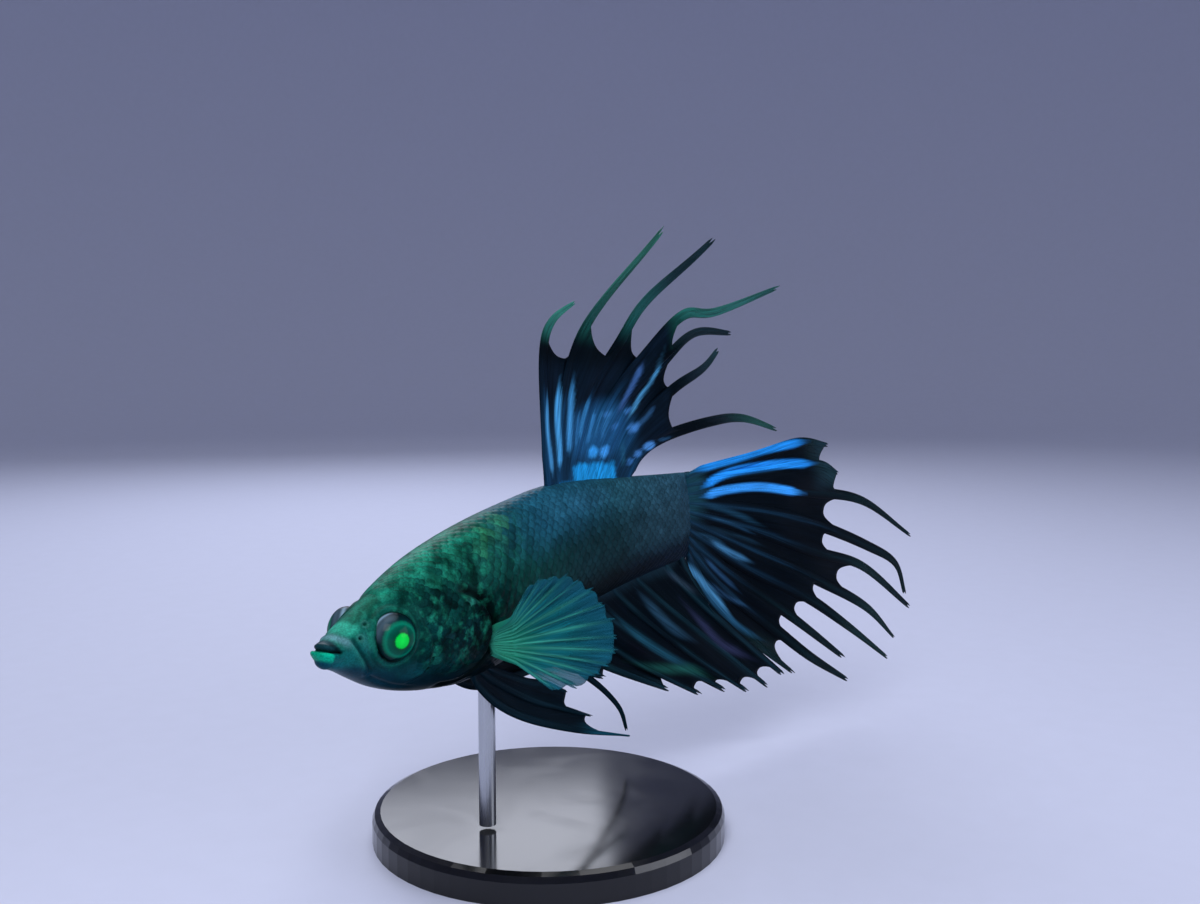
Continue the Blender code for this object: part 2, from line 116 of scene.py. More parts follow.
def shade_of(code, like):
    """One colour for every point of an array."""
    return np.broadcast_to(linear(code), (*np.shape(like), 3))


def solid(rgb, alpha=1.0):
    """Colours with an opacity."""
    return np.concatenate([rgb, np.broadcast_to(alpha, rgb.shape[:-1])[..., None]], -1)


def mixed(base, over, share):
    """Colours blended towards another colour (or an array of them) by a share per point."""
    over = linear(over) if isinstance(over, str) else over
    return base + (over - base) * np.clip(share, 0, 1)[..., None]


# ------------------------------------------------------------------ body coordinates


def smooth_step(x):
    """Soft change from 0 to 1 while x goes from 0 to 1."""
    x = np.clip(x, 0.0, 1.0)
    return x * x * (3 - 2 * x)


def bell(x):
    """Soft bump, 1 at x = 0 and close to 0 past 2 on either side."""
    return np.exp(-x * x)


def faded(share, start, end):
    """1 along a line, falling to 0 over these shares of it at its start and at its end."""
    return smooth_step(share / start) * smooth_step((1 - share) / end)


def ridge(away, at, wide, high):
    """Height of a soft ridge at a distance from a line, or of a groove where high is below 0."""
    return high * bell((away - at) / wide)


def spine_heading(s):
    """Direction of the spine at s against the head's, as an angle about the vertical."""
    return -TAIL_TURN * smooth_step((s - BEND_FROM) / (BEND_TO - BEND_FROM))


SPINE_S = np.arange(0, 201)
SPINE_X = np.concatenate([[0], np.cumsum(np.cos(spine_heading(SPINE_S[:-1] + 0.5)))])
SPINE_Y = np.concatenate([[0], np.cumsum(np.sin(spine_heading(SPINE_S[:-1] + 0.5)))])
STANCE = np.array(Matrix.Rotation(HEAD_YAW, 3, 'Z') @ Matrix.Rotation(-HEAD_PITCH, 3, 'Y'))
STANCE_PLACE = np.array([*SPINE_SHIFT, SPINE_HEIGHT])


def place(s, w, h):
    """Positions in metres of points in body coordinates."""
    s, w, h = np.broadcast_arrays(s, w, h)
    heading = spine_heading(s)
    x = np.interp(s, SPINE_S, SPINE_X) + np.minimum(s, 0) - SPINE_X[SPINE_MIDDLE]
    y = np.interp(s, SPINE_S, SPINE_Y) - SPINE_Y[SPINE_MIDDLE]
    flat = np.stack([x - w * np.sin(heading), y + w * np.cos(heading), h], -1) * PERCENT
    return flat @ STANCE.T + STANCE_PLACE


def body_value(s, column):
    """A column of BODY at s, on a smooth curve through its rows."""
    rows, values = BODY[:, 0], BODY[:, column]
    last = len(rows) - 1
    i = np.clip(np.searchsorted(rows, s, side='right') - 1, 0, last - 1)
    before, after = np.maximum(i - 1, 0), np.minimum(i + 2, last)
    width = rows[i + 1] - rows[i]
    t = np.clip((s - rows[i]) / width, 0, 1)
    slope_lo = (values[i + 1] - values[before]) / (rows[i + 1] - rows[before]) * width
    slope_hi = (values[after] - values[i]) / (rows[after] - rows[i]) * width
    return ((2 * t**3 - 3 * t**2 + 1) * values[i] + (t**3 - 2 * t**2 + t) * slope_lo
            + (3 * t**2 - 2 * t**3) * values[i + 1] + (t**3 - t**2) * slope_hi)


def section(s):
    """Back, belly, half width and widest level of the body at s; lips and tail root rounded off."""
    top, bottom, half, level = (body_value(np.maximum(s, NOSE_ROUND), c) for c in (1, 2, 3, 4))
    share = np.sqrt(np.maximum(0, 1 - (1 - np.minimum(s / NOSE_ROUND, 1))**2))
    share = share * (1 - 0.3 * smooth_step((s - TAIL_ROUNDING) / (SKIN_END - TAIL_ROUNDING))**2)
    flat = 1 - 0.985 * smooth_step((s - TAIL_FLATTENING) / (SKIN_END - TAIL_FLATTENING))
    return level + (top - level) * share, level + (bottom - level) * share, half * share * flat, level


def body_surface(s, turn):
    """Body coordinates on the smooth body; turn goes round from the back towards the right side."""
    top, bottom, half, level = section(s)
    rise = np.cos(turn)
    return s, half * np.sin(turn), level + np.where(rise > 0, top - level, level - bottom) * rise


def curve_points(points, t):
    """Points of a smooth curve through the points, at shares t of it."""
    points = np.asarray(points, float)
    padded = np.vstack([2 * points[0] - points[1], points, 2 * points[-1] - points[-2]])
    spans = len(points) - 1
    t = np.asarray(t, float)
    i = np.clip((t * spans).astype(int), 0, spans - 1)
    u = (t * spans - i)[..., None]
    p0, p1, p2, p3 = (padded[i + k] for k in range(4))
    return 0.5 * (2 * p1 + (p2 - p0) * u + (2 * p0 - 5 * p1 + 4 * p2 - p3) * u**2
                  + (3 * p1 - p0 - 3 * p2 + p3) * u**3)


def line_distance(s, h, line):
    """Signed distance of side-view points from a smooth line, positive on its tail side, and the
    share of the line at which it lies."""
    path = curve_points(line, np.linspace(0, 1, 25))
    best = np.full(np.shape(s), np.inf)
    side = np.ones(np.shape(s))
    share = np.zeros(np.shape(s))
    for k, (a, b) in enumerate(zip(path[:-1], path[1:])):
        run = b - a
        t = np.clip(((s - a[0]) * run[0] + (h - a[1]) * run[1]) / (run @ run), 0, 1)
        ds, dh = s - a[0] - t * run[0], h - a[1] - t * run[1]
        away = np.hypot(ds, dh)
        closer = away < best
        best = np.where(closer, away, best)
        side = np.where(closer, np.sign(ds * -run[1] + dh * run[0] + 1e-12), side)
        share = np.where(closer, (k + t) / (len(path) - 1), share)
    return best * side, share


def eye_distance(s, w, h):
    """Distance of points from the axis of the nearer eye."""
    d = np.stack([s - EYE[0], np.abs(w) - EYE[1], h - EYE[2]], -1)
    axis = np.array([-math.sin(EYE_FORWARD), math.cos(EYE_FORWARD), 0])
    return np.linalg.norm(d - (d @ axis)[..., None] * axis, axis=-1)


def gill_distance(s, h):
    """Distance behind the gill cover's edge (negative on the cover), and how far the edge is open."""
    ds, dh = (s - GILL_CENTRE[0]) / GILL_SIZE[0], (h - GILL_CENTRE[1]) / GILL_SIZE[1]
    angle = np.arctan2(dh, ds)
    opening = smooth_step((1.9 - np.abs(angle + 0.25)) / 0.5)
    return (np.hypot(ds, dh) - 1) * GILL_SIZE[0], opening


def nostril_distance(s, w, h, spot):
    """Distance of points from a nostril, on whichever side of the head they are."""
    return np.sqrt((s - spot[0])**2 + (np.abs(w) - spot[1])**2 + (h - spot[2])**2)


def relief(s, w, h):
    """How far the skin stands out from the smooth body, in percent of the length: lips, creases,
    eye rims, nostrils, cheek plates and the gill cover."""
    out = np.zeros(np.shape(s))
    head = smooth_step((HEAD_END - s) / 2)

    from_rim = eye_distance(s, w, h) - EYE_RADIUS
    out += ridge(from_rim, at=0.5, wide=0.3, high=0.16) - 0.9 * smooth_step((-0.15 - from_rim) / 0.5)
    out += ridge(from_rim, at=1.15, wide=0.3, high=-0.14)

    gape, _ = line_distance(s, h, GAPE)
    lips = ridge(gape, at=0.6, wide=0.4, high=0.16) + ridge(gape, at=-0.55, wide=0.4, high=0.22)
    out += smooth_step((2.9 - s) / 0.9) * (lips + ridge(gape, at=0, wide=0.2, high=-0.6))
    out += smooth_step((3.2 - s) / 0.8) * ridge(gape, at=-1.6, wide=0.35, high=-0.14)

    crease, share = line_distance(s, h, LIP_CREASE)
    fold = ridge(crease, at=-0.6, wide=0.35, high=0.22) + ridge(crease, at=0, wide=0.24, high=-0.36)
    out += faded(share, 0.15, 0.2) * fold

    jaw, share = line_distance(s, h, JAW_LINE)
    out += faded(share, 0.1, 0.3) * ridge(jaw, at=0, wide=0.28, high=-0.22)

    cheek, share = line_distance(s, h, CHEEK_LINE)
    plate = ridge(cheek, at=-0.7, wide=0.5, high=0.12) + ridge(cheek, at=0, wide=0.35, high=-0.2)
    out += faded(share, 0.2, 0.2) * plate

    gill, opening = gill_distance(s, h)
    cover = ridge(gill, at=-0.5, wide=0.7, high=0.3) + ridge(gill, at=0.75, wide=0.65, high=-1.0)
    out += head * opening * cover

    for spot in NOSTRILS:
        away = nostril_distance(s, w, h, spot)
        out += ridge(away, at=0.45, wide=0.16, high=0.1) + ridge(away, at=0, wide=0.24, high=-0.45)
    return out


def bare_frame(s, turn):
    """Positions, outward normals and tailward directions on the smooth body."""
    step = 0.04                         # in percent along the body, and in radians round it
    behind, ahead = np.maximum(s - step, 0.001), s + step
    along = place(*body_surface(ahead, turn)) - place(*body_surface(behind, turn))
    round_body = place(*body_surface(s, turn + step)) - place(*body_surface(s, turn - step))
    normal = np.cross(along, round_body)
    normal /= np.linalg.norm(normal, axis=-1, keepdims=True)
    along /= np.linalg.norm(along, axis=-1, keepdims=True)
    return place(*body_surface(s, turn)), normal, along


def skin_points(s, turn):
    """Positions on the finished skin, a coat's depth under the solids' surface."""
    position, normal, _ = bare_frame(s, turn)
    depth = COAT_DEPTH * smooth_step(s / 4) * smooth_step((SKIN_END - s) / 3)
    return position + normal * ((relief(*body_surface(s, turn)) - depth) * PERCENT)[..., None]


# ------------------------------------------------------------------ markings of skin and scales

# along the body: s, then the colour of the back, the flank and the belly side
BODY_TINTS = [
    (0, "#12705e", "#0b5a58", "#0c3e50"),
    (8, "#0b493f", "#064846", "#082f3c"),
    (16, "#0a3f37", "#043633", "#031e28"),
    (26, "#0c453b", "#042e2c", "#011018"),
    (34, "#144a40", "#083e3a", "#031a20"),
    (42, "#174c54", "#0a3e3b", "#04201f"),
    (52, "#1b5064", "#0f3a38", "#04161a"),
    (62, "#1d4e62", "#103034", "#040e12"),
    (74, "#1f4a56", "#122d32", "#050d12"),
    (88, "#284b5a", "#24404c", "#0c1724"),
    (104, "#284556", "#233c4a", "#0e1a26"),
]

# soft oval spots on the sides: s, h, half length, half height, strength, colour
SPOTS = [
    (19.2, 4.6, 2.0, 1.3, 0.75, "#04161a"),
    (22.4, 3.9, 2.2, 1.6, 0.65, "#05181c"),
    (19.6, -1.6, 2.6, 3.4, 0.55, "#06262a"),
    (24.6, -2.6, 3.4, 2.6, 0.7, "#051c22"),
    (28.6, -0.6, 2.2, 2.4, 0.6, "#041a1e"),
    (27.6, -6.4, 3.6, 3.0, 0.75, "#031418"),
    (22.0, 0.6, 1.0, 1.4, 0.45, "#0f5a50"),
    (26.9, 2.6, 1.1, 1.5, 0.85, "#2f8472"),
    (29.0, 3.0, 0.9, 1.8, 0.7, "#256f60"),
    (21.6, -1.8, 0.7, 0.5, 0.8, "#35616e"),
    (18.2, -3.4, 0.8, 1.3, 0.55, "#1b6e58"),
    (20.6, 7.0, 1.4, 1.2, 0.6, "#1d7a62"),
    (24.2, 7.6, 1.2, 1.4, 0.55, "#1a745e"),
    (27.6, 9.0, 1.6, 1.2, 0.5, "#1c7058"),
    (33.6, 8.2, 1.6, 1.3, 0.6, "#2a7a58"),
    (36.4, 10.0, 1.7, 1.1, 0.7, "#34845a"),
    (39.0, 8.6, 1.3, 1.6, 0.45, "#2c7458"),
    (41.5, 10.6, 2.2, 1.1, 0.6, "#37805c"),
    (36.0, 4.6, 2.4, 2.0, 0.4, "#166254"),
    (41.5, 3.0, 4.5, 3.4, 0.35, "#16584c"),
    (58.0, 9.6, 6.0, 2.2, 0.35, "#285f74"),
    (68.0, 9.4, 6.5, 1.8, 0.3, "#2c5c74"),
    # the next four: near-black behind the gill cover and round the roots of pectoral and pelvic fins, painted
    # shade in the gill opening and under the fins
    (30.8, -3.2, 1.2, 4.4, 0.92, "#010608"),
    (29.4, -4.2, 1.5, 4.2, 0.85, "#02090c"),
    (29.6, -8.6, 2.6, 2.4, 0.85, "#02090c"),
    (33.5, -11.2, 3.6, 1.8, 0.7, "#02090c"),
    (13.2, -1.6, 1.6, 1.0, 0.3, "#12584f"),
    (15.0, -4.6, 3.2, 1.6, 0.55, "#0f4a50"),
    (5.0, 4.4, 1.5, 0.9, 0.85, "#2fa48a"),
    (3.4, 0.2, 2.6, 1.4, 0.5, "#176a68"),
    (6.6, 2.0, 1.2, 1.6, 0.4, "#2a7470"),
]
MOUTH_CORNER_SHADE = [(1.6, 2.9, 0.26), (1.8, 2.4, 0.3), (2.2, 1.9, 0.26)]    # s, h, size: painted shade in the mouth's corner


def spotted(colour, s, h, spots, soft=0.7):
    """Colours with soft oval spots: s, h, half length, half height, strength, colour."""
    for spot_s, spot_h, half_s, half_h, strength, tint in spots:
        away = np.hypot((s - spot_s) / half_s, (h - spot_h) / half_h)
        colour = mixed(colour, tint, strength * smooth_step((1.35 - away) / soft))
    return colour


def body_colour(s, w, h, rise):
    """Colour of skin and scales: the long change from green head to dark tail, with a painted highlight
    along the top, then the face, with painted shade in mouth, lip crease, eye socket, nostrils and
    gill opening.
    """
    stations = [row[0] for row in BODY_TINTS]
    back, flank, belly = (
        np.stack([np.interp(s, stations, [linear(row[c])[k] for row in BODY_TINTS]) for k in range(3)], -1)
        for c in (1, 2, 3))
    colour = mixed(flank, back, smooth_step((rise - 0.15) / 0.6))
    colour = mixed(colour, belly, smooth_step((-0.12 - rise) / 0.6))

    # lighter emerald along the top of head and nape: a painted highlight where the light from above falls
    ridge = smooth_step((rise - 0.82) / 0.16) * smooth_step((44 - s) / 18) * smooth_step((s - 3) / 3)
    colour = mixed(colour, "#1a8068", 0.75 * ridge)
    colour = spotted(colour, s, h, SPOTS, soft=0.9)

    gape, _ = line_distance(s, h, GAPE)
    upper_lip = smooth_step((2.5 - s) / 0.7) * smooth_step((gape - 0.05) / 0.2)
    colour = mixed(colour, "#12303a", 0.95 * upper_lip * smooth_step((3.9 - h) / 0.6))
    lower_lip = smooth_step((1.35 - s) / 0.5) * smooth_step((-gape - 0.05) / 0.2)
    colour = mixed(colour, "#08a884", 0.95 * lower_lip * smooth_step((1.8 + gape) / 0.6))
    # near-black along the gape and in the mouth's corner: painted shade in the slit of the closed mouth
    colour = mixed(colour, "#010a0e", smooth_step((2.7 - s) / 0.6) * bell(gape / 0.22))
    for spot_s, spot_h, size in MOUTH_CORNER_SHADE:
        colour = mixed(colour, "#01090c", 0.9 * bell(np.hypot(s - spot_s, h - spot_h) / size))

    band, share = line_distance(s, h, LIP_BAND)
    colour = mixed(colour, "#5d8f96", 0.9 * bell(band / 0.6) * smooth_step((0.62 - share) / 0.25))
    colour = mixed(colour, "#267a70", 0.7 * bell(band / 0.5) * smooth_step((share - 0.4) / 0.2)
                   * smooth_step((1 - share) / 0.2))
    # dark line along the lip crease: painted shade in its groove
    crease, share = line_distance(s, h, LIP_CREASE)
    colour = mixed(colour, "#04272b", 0.8 * faded(share, 0.12, 0.3) * bell((crease - 0.1) / 0.32))

    from_rim = eye_distance(s, w, h) - EYE_RADIUS
    near_head = smooth_step((20 - s) / 3)
    colour = mixed(colour, "#146a5a", 0.4 * near_head * bell((from_rim - 0.6) / 0.3))
    # near-black skin at the socket's edge round the eyeball: painted shade between eye and head
    colour = mixed(colour, "#01090c", near_head * smooth_step((0.2 - from_rim) / 0.3))

    # near-black band just behind the gill cover's edge: painted shade in the gill opening
    gill, opening = gill_distance(s, h)
    gap = opening * bell((gill - 1.1) / 1.25) * smooth_step((HEAD_END - s) / 2)
    colour = mixed(colour, "#010507", 0.96 * gap)
    # nostrils: a paler ring round each, and a near-black middle that is painted shade in its pit
    for spot in NOSTRILS:
        away = nostril_distance(s, w, h, spot)
        colour = mixed(colour, "#3a7c72", 0.4 * bell((away - 0.5) / 0.2))
        colour = mixed(colour, "#021014", 0.95 * bell(away / 0.3))
    return colour


def bloom_at(s, h, rise):
    """Strength of the emerald flecks: strong on head and nape, fading towards tail and belly."""
    gill, opening = gill_distance(s, h)
    # few flecks at the gill opening, so that its painted shade stays dark
    by_gill = 1 - 0.9 * opening * bell((gill - 0.2) / 2.2) * smooth_step((2 - h) / 4)
    lengthwise = (0.66 + 0.14 * smooth_step((s - 14) / 10)) * smooth_step((52 - s) / 26)
    return by_gill * lengthwise * smooth_step((s - 4) / 4) * smooth_step((rise + 0.75) / 0.9)


# ------------------------------------------------------------------ meshes and node trees


def add(tree, kind, links=None, **settings):
    """Add a node: its settings first, then its inputs by name or number, as sockets or plain values."""
    made = tree.nodes.new(kind)
    for key, value in settings.items():
        setattr(made, key, value)
    for key, value in (links or {}).items():
        if isinstance(value, bpy.types.NodeSocket):
            tree.links.new(value, made.inputs[key])
        else:
            made.inputs[key].default_value = value
    return made


def store(mesh, name, values):
    """Store values per point as a named attribute: one number, three or four of them."""
    values = np.asarray(values, np.float32)
    kind, field = {1: ("FLOAT", "value"), 3: ("FLOAT_VECTOR", "vector"),
                   4: ("FLOAT_COLOR", "color")}[1 if values.ndim == 1 else values.shape[1]]
    layer = mesh.attributes.new(name, kind, 'POINT')
    layer.data.foreach_set(field, values.ravel())


def make_mesh(name, points, faces, edges=(), **values):
    """Smooth-shaded mesh, with a named attribute per point for each of the values."""
    mesh = bpy.data.meshes.new(name)
    mesh.from_pydata(np.asarray(points).tolist(), [tuple(e) for e in edges], [tuple(f) for f in faces])
    mesh.shade_smooth()
    for key, value in values.items():
        store(mesh, key, value)
    return mesh


def make_object(name, mesh, material=None):
    """Object in the scene, at the origin and unturned."""
    obj = bpy.data.objects.new(name, mesh)
    bpy.context.scene.collection.objects.link(obj)
    if material:
        mesh.materials.clear()
        mesh.materials.append(material)
    return obj


def baked(obj, name, tree, inputs, material):
    """Plain object from what a Geometry Nodes tree makes of an object, which is then removed."""
    modifier = obj.modifiers.new("nodes", 'NODES')
    modifier.node_group = tree
    for item in tree.interface.items_tree:
        if item.in_out == 'INPUT' and item.name in inputs:
            modifier[item.identifier] = inputs[item.name]
    result = obj.evaluated_get(bpy.context.evaluated_depsgraph_get())
    mesh = bpy.data.meshes.new_from_object(result)
    mesh.name = name
    obj.modifiers.remove(modifier)
    bpy.data.objects.remove(obj)
    return make_object(name, mesh, material)


def new_tree(name, sockets):
    """Geometry Nodes tree with named inputs; returns it and its group input node."""
    tree = bpy.data.node_groups.new(name, 'GeometryNodeTree')
    tree.interface.new_socket("Geometry", in_out='INPUT', socket_type='NodeSocketGeometry')
    tree.interface.new_socket("Geometry", in_out='OUTPUT', socket_type='NodeSocketGeometry')
    for label, kind in sockets:
        tree.interface.new_socket(label, in_out='INPUT', socket_type=kind)
    return tree, tree.nodes.new('NodeGroupInput')


def grid_quads(rows, columns, closed=False):
    """Corner numbers of the faces of a grid of points, closed round its rows or open."""
    index = np.arange(rows * columns).reshape(rows, columns)
    if closed:
        index = np.hstack([index, index[:, :1]])
    return np.stack([index[:-1, :-1], index[:-1, 1:], index[1:, 1:], index[1:, :-1]], -1).reshape(-1, 4)


def capped_faces(rings, columns):
    """Faces of a closed grid of points and of the fans that close both its ends, each about a pole:
    the point after the grid's last is the first ring's pole, and the next is the last ring's."""
    around = np.arange(columns)
    after = np.roll(around, -1)
    count = rings * columns
    last = count - columns
    faces = grid_quads(rings, columns, closed=True).tolist()
    faces += [(count, b, a) for a, b in zip(around, after)]
    return faces + [(count + 1, last + a, last + b) for a, b in zip(around, after)]


def turned_round(faces):
    """The same faces, seen from their other side."""
    return [tuple(reversed(face)) for face in faces]


# ------------------------------------------------------------------ materials


def new_material(name, **values):
    """Material with one Principled shader; returns it, its tree and the shader."""
    material = bpy.data.materials.new(name)
    material.use_nodes = True
    tree = material.node_tree
    shader = tree.nodes["Principled BSDF"]
    for key, value in values.items():
        shader.inputs[key.replace("_", " ").title().replace("Ior", "IOR")].default_value = value
    return material, tree, shader


def flecked(tree):
    """Colour shared by skin and scales: the markings, with emerald flecks of about 0.8 mm where the
    bloom is strong, dark flecks of 1.3 mm between them, and a grain of pigment cells of 0.12 mm,
    which is coarser than the real cells so that it shows. Returns the colour and the grain."""
    tint = add(tree, 'ShaderNodeAttribute', attribute_name="tint")
    bloom = add(tree, 'ShaderNodeAttribute', attribute_name="bloom")
    where = add(tree, 'ShaderNodeTexCoord')
    blots = add(tree, 'ShaderNodeTexNoise', {"Vector": where.outputs["Object"], "Scale": 1 / 0.0008,
                                             "Detail": 3.0, "Roughness": 0.6})
    shadows = add(tree, 'ShaderNodeTexNoise', {"Vector": where.outputs["Object"], "Scale": 1 / 0.0013,
                                               "Detail": 2.0, "Distortion": 0.6})
    grain = add(tree, 'ShaderNodeTexNoise', {"Vector": where.outputs["Object"], "Scale": 1 / 0.00012,
                                             "Detail": 1.0})
    fleck = add(tree, 'ShaderNodeMapRange', {"Value": blots.outputs["Fac"], "From Min": 0.5,
                                             "From Max": 0.72})
    strength = add(tree, 'ShaderNodeMath', {0: fleck.outputs[0], 1: bloom.outputs["Fac"]},
                   operation='MULTIPLY')
    bright = add(tree, 'ShaderNodeMix', {0: strength.outputs[0], 6: tint.outputs["Color"],
                                         7: rgba("#208a6c")}, data_type='RGBA')
    depth = add(tree, 'ShaderNodeMath', {0: bloom.outputs["Fac"], 1: -0.6, 2: 0.8},
                operation='MULTIPLY_ADD')
    dark = add(tree, 'ShaderNodeMapRange', {"Value": shadows.outputs["Fac"], "From Min": 0.36,
                                            "From Max": 0.6, "To Min": depth.outputs[0],
                                            "To Max": 1.12})
    speck = add(tree, 'ShaderNodeMapRange', {"Value": grain.outputs["Fac"], "From Min": 0.35,
                                             "From Max": 0.65, "To Min": 0.8, "To Max": 1.2})
    value = add(tree, 'ShaderNodeMath', {0: dark.outputs[0], 1: speck.outputs[0]}, operation='MULTIPLY')
    colour = add(tree, 'ShaderNodeVectorMath', {0: bright.outputs[2], "Scale": value.outputs[0]},
                 operation='SCALE')
    return colour.outputs[0], grain.outputs["Fac"]


def wet_skin():
    """Living skin with a thin mucus film: flecked pigment under a smooth, soft gloss."""
    material, tree, shader = new_material("betta_skin_wet", roughness=0.36, ior=1.3,
                                          specular_ior_level=0.16, specular_tint=rgba("#5cc4b8"))
    colour, grain = flecked(tree)
    bump = add(tree, 'ShaderNodeBump', {"Height": grain, "Strength": 0.3, "Distance": 0.00002})
    tree.links.new(colour, shader.inputs["Base Color"])
    tree.links.new(bump.outputs[0], shader.inputs["Normal"])
    return material


def pearly_scale():
    """Fish scale under mucus: the skin's colour, a little different on each scale, paler in its
    middle and darker at its rim, with growth rings, and a soft pearly gloss."""
    material, tree, shader = new_material("betta_scale_pearly", roughness=0.36, ior=1.2,
                                          specular_ior_level=0.12, specular_tint=rgba("#5cc4b8"))
    colour, _ = flecked(tree)
    shade = add(tree, 'ShaderNodeAttribute', attribute_name="shade")
    rim = add(tree, 'ShaderNodeAttribute', attribute_name="rim")
    edge = add(tree, 'ShaderNodeMapRange', {"Value": rim.outputs["Fac"], "From Min": 0.5,
                                            "From Max": 1.0, "To Min": 1.06, "To Max": 0.5})
    value = add(tree, 'ShaderNodeMath', {0: edge.outputs[0], 1: shade.outputs["Fac"]},
                operation='MULTIPLY')
    shaded = add(tree, 'ShaderNodeVectorMath', {0: colour, "Scale": value.outputs[0]},
                 operation='SCALE')
    rings = add(tree, 'ShaderNodeMath', {0: rim.outputs["Fac"], 1: 50.0}, operation='MULTIPLY')
    wave = add(tree, 'ShaderNodeMath', {0: rings.outputs[0]}, operation='SINE')
    bump = add(tree, 'ShaderNodeBump', {"Height": wave.outputs[0], "Strength": 0.15,
                                        "Distance": 0.000005})
    tree.links.new(shaded.outputs[0], shader.inputs["Base Color"])
    tree.links.new(bump.outputs[0], shader.inputs["Normal"])
    return material


def fin_membrane(name, roughness=0.5):
    """Thin skin between fin rays: pigment drawn out along the rays in streaks of about 0.12 mm, a
    little see-through where the pigment is thin, and wet."""
    material, tree, shader = new_material(name, roughness=roughness, ior=1.3, specular_ior_level=0.12,
                                          specular_tint=rgba("#5a9fd0"))
    tint = add(tree, 'ShaderNodeAttribute', attribute_name="tint")
    run = add(tree, 'ShaderNodeAttribute', attribute_name="run")
    stretched = add(tree, 'ShaderNodeVectorMath', {0: run.outputs["Vector"],
                                                   1: (1 / (0.12 * MILLIMETRE), 0.12, 1.0)},
                    operation='MULTIPLY')
    streaks = add(tree, 'ShaderNodeTexNoise', {"Vector": stretched.outputs[0], "Scale": 1.0,
                                               "Detail": 3.0})
    shade = add(tree, 'ShaderNodeMapRange', {"Value": streaks.outputs["Fac"], "From Min": 0.3,
                                             "From Max": 0.7, "To Min": 0.55, "To Max": 1.4})
    colour = add(tree, 'ShaderNodeVectorMath', {0: tint.outputs["Color"], "Scale": shade.outputs[0]},
                 operation='SCALE')
    bump = add(tree, 'ShaderNodeBump', {"Height": streaks.outputs["Fac"], "Strength": 0.35,
                                        "Distance": 0.00004})
    tree.links.new(colour.outputs[0], shader.inputs["Base Color"])
    tree.links.new(tint.outputs["Alpha"], shader.inputs["Alpha"])
    tree.links.new(bump.outputs[0], shader.inputs["Normal"])
    return material


def bony_ray():
    """Fin ray: a row of short bony joints about 0.35 mm long under skin, so its shade and gloss
    change from joint to joint."""
    material, tree, shader = new_material("fin_ray_bone", roughness=0.45, ior=1.3,
                                          specular_ior_level=0.2, specular_tint=rgba("#5a9fd0"))
    tint = add(tree, 'ShaderNodeAttribute', attribute_name="tint")
    run = add(tree, 'ShaderNodeAttribute', attribute_name="run")
    split = add(tree, 'ShaderNodeSeparateXYZ', {0: run.outputs["Vector"]})
    joints = add(tree, 'ShaderNodeMath', {0: split.outputs["Y"], 1: 2 * math.pi / (0.35 * MILLIMETRE)},
                 operation='MULTIPLY')
    wave = add(tree, 'ShaderNodeMath', {0: joints.outputs[0]}, operation='SINE')
    shade = add(tree, 'ShaderNodeMapRange', {"Value": wave.outputs[0], "From Min": -1.0,
                                             "To Min": 0.72, "To Max": 1.15})
    colour = add(tree, 'ShaderNodeVectorMath', {0: tint.outputs["Color"], "Scale": shade.outputs[0]},
                 operation='SCALE')
    bump = add(tree, 'ShaderNodeBump', {"Height": wave.outputs[0], "Strength": 0.4,
                                        "Distance": 0.00002})
    tree.links.new(colour.outputs[0], shader.inputs["Base Color"])
    tree.links.new(tint.outputs["Alpha"], shader.inputs["Alpha"])
    tree.links.new(bump.outputs[0], shader.inputs["Normal"])
    return material


def wet_eye():
    """Eyeball under a clear cornea: bright green pupil, painted as a glow of light thrown back from
    inside the eye, dark green iris ring with fine spokes, black rim with a painted reflection in
    front, a silvery crescent, and a sharp wet gloss over all of it."""
    material, tree, shader = new_material("eye_cornea_gloss", roughness=0.35, ior=1.15, coat_weight=0.16,
                                          coat_roughness=0.07, specular_ior_level=0.1)
    reach = add(tree, 'ShaderNodeAttribute', attribute_name="reach")
    spokes = add(tree, 'ShaderNodeAttribute', attribute_name="spokes")
    noise = add(tree, 'ShaderNodeTexNoise', {"Vector": spokes.outputs["Vector"], "Scale": 9.0,
                                             "Detail": 3.0})
    uneven = add(tree, 'ShaderNodeMapRange', {"Value": noise.outputs["Fac"], "To Min": -0.035,
                                              "To Max": 0.035})
    radius = add(tree, 'ShaderNodeMath', {0: reach.outputs["Fac"], 1: uneven.outputs[0]})
    ramp = add(tree, 'ShaderNodeValToRGB', {"Fac": radius.outputs[0]})
    # the bright green middle is a painted glow: light thrown back from inside the eye, not a colour of its
    # own
    stops = [(0.0, "#10f050"), (0.28, "#00dc45"), (0.35, "#034a2e"), (0.44, "#034a3a"),
             (0.58, "#035544"), (0.66, "#05785c"), (0.73, "#05684f"), (0.80, "#022829"),
             (1.0, "#00060a")]
    while len(ramp.color_ramp.elements) < len(stops):
        ramp.color_ramp.elements.new(1.0)
    for element, (position, code) in zip(ramp.color_ramp.elements, stops):
        element.position = position
        element.color = rgba(code)
    # painted reflection: silver mixed in where the mesh marks the crescent
    glare = add(tree, 'ShaderNodeAttribute', attribute_name="glare")
    silver = add(tree, 'ShaderNodeMix', {0: glare.outputs["Fac"], 6: ramp.outputs["Color"],
                                         7: rgba("#86a6bc")}, data_type='RGBA')
    tree.links.new(silver.outputs[2], shader.inputs["Base Color"])
    return material


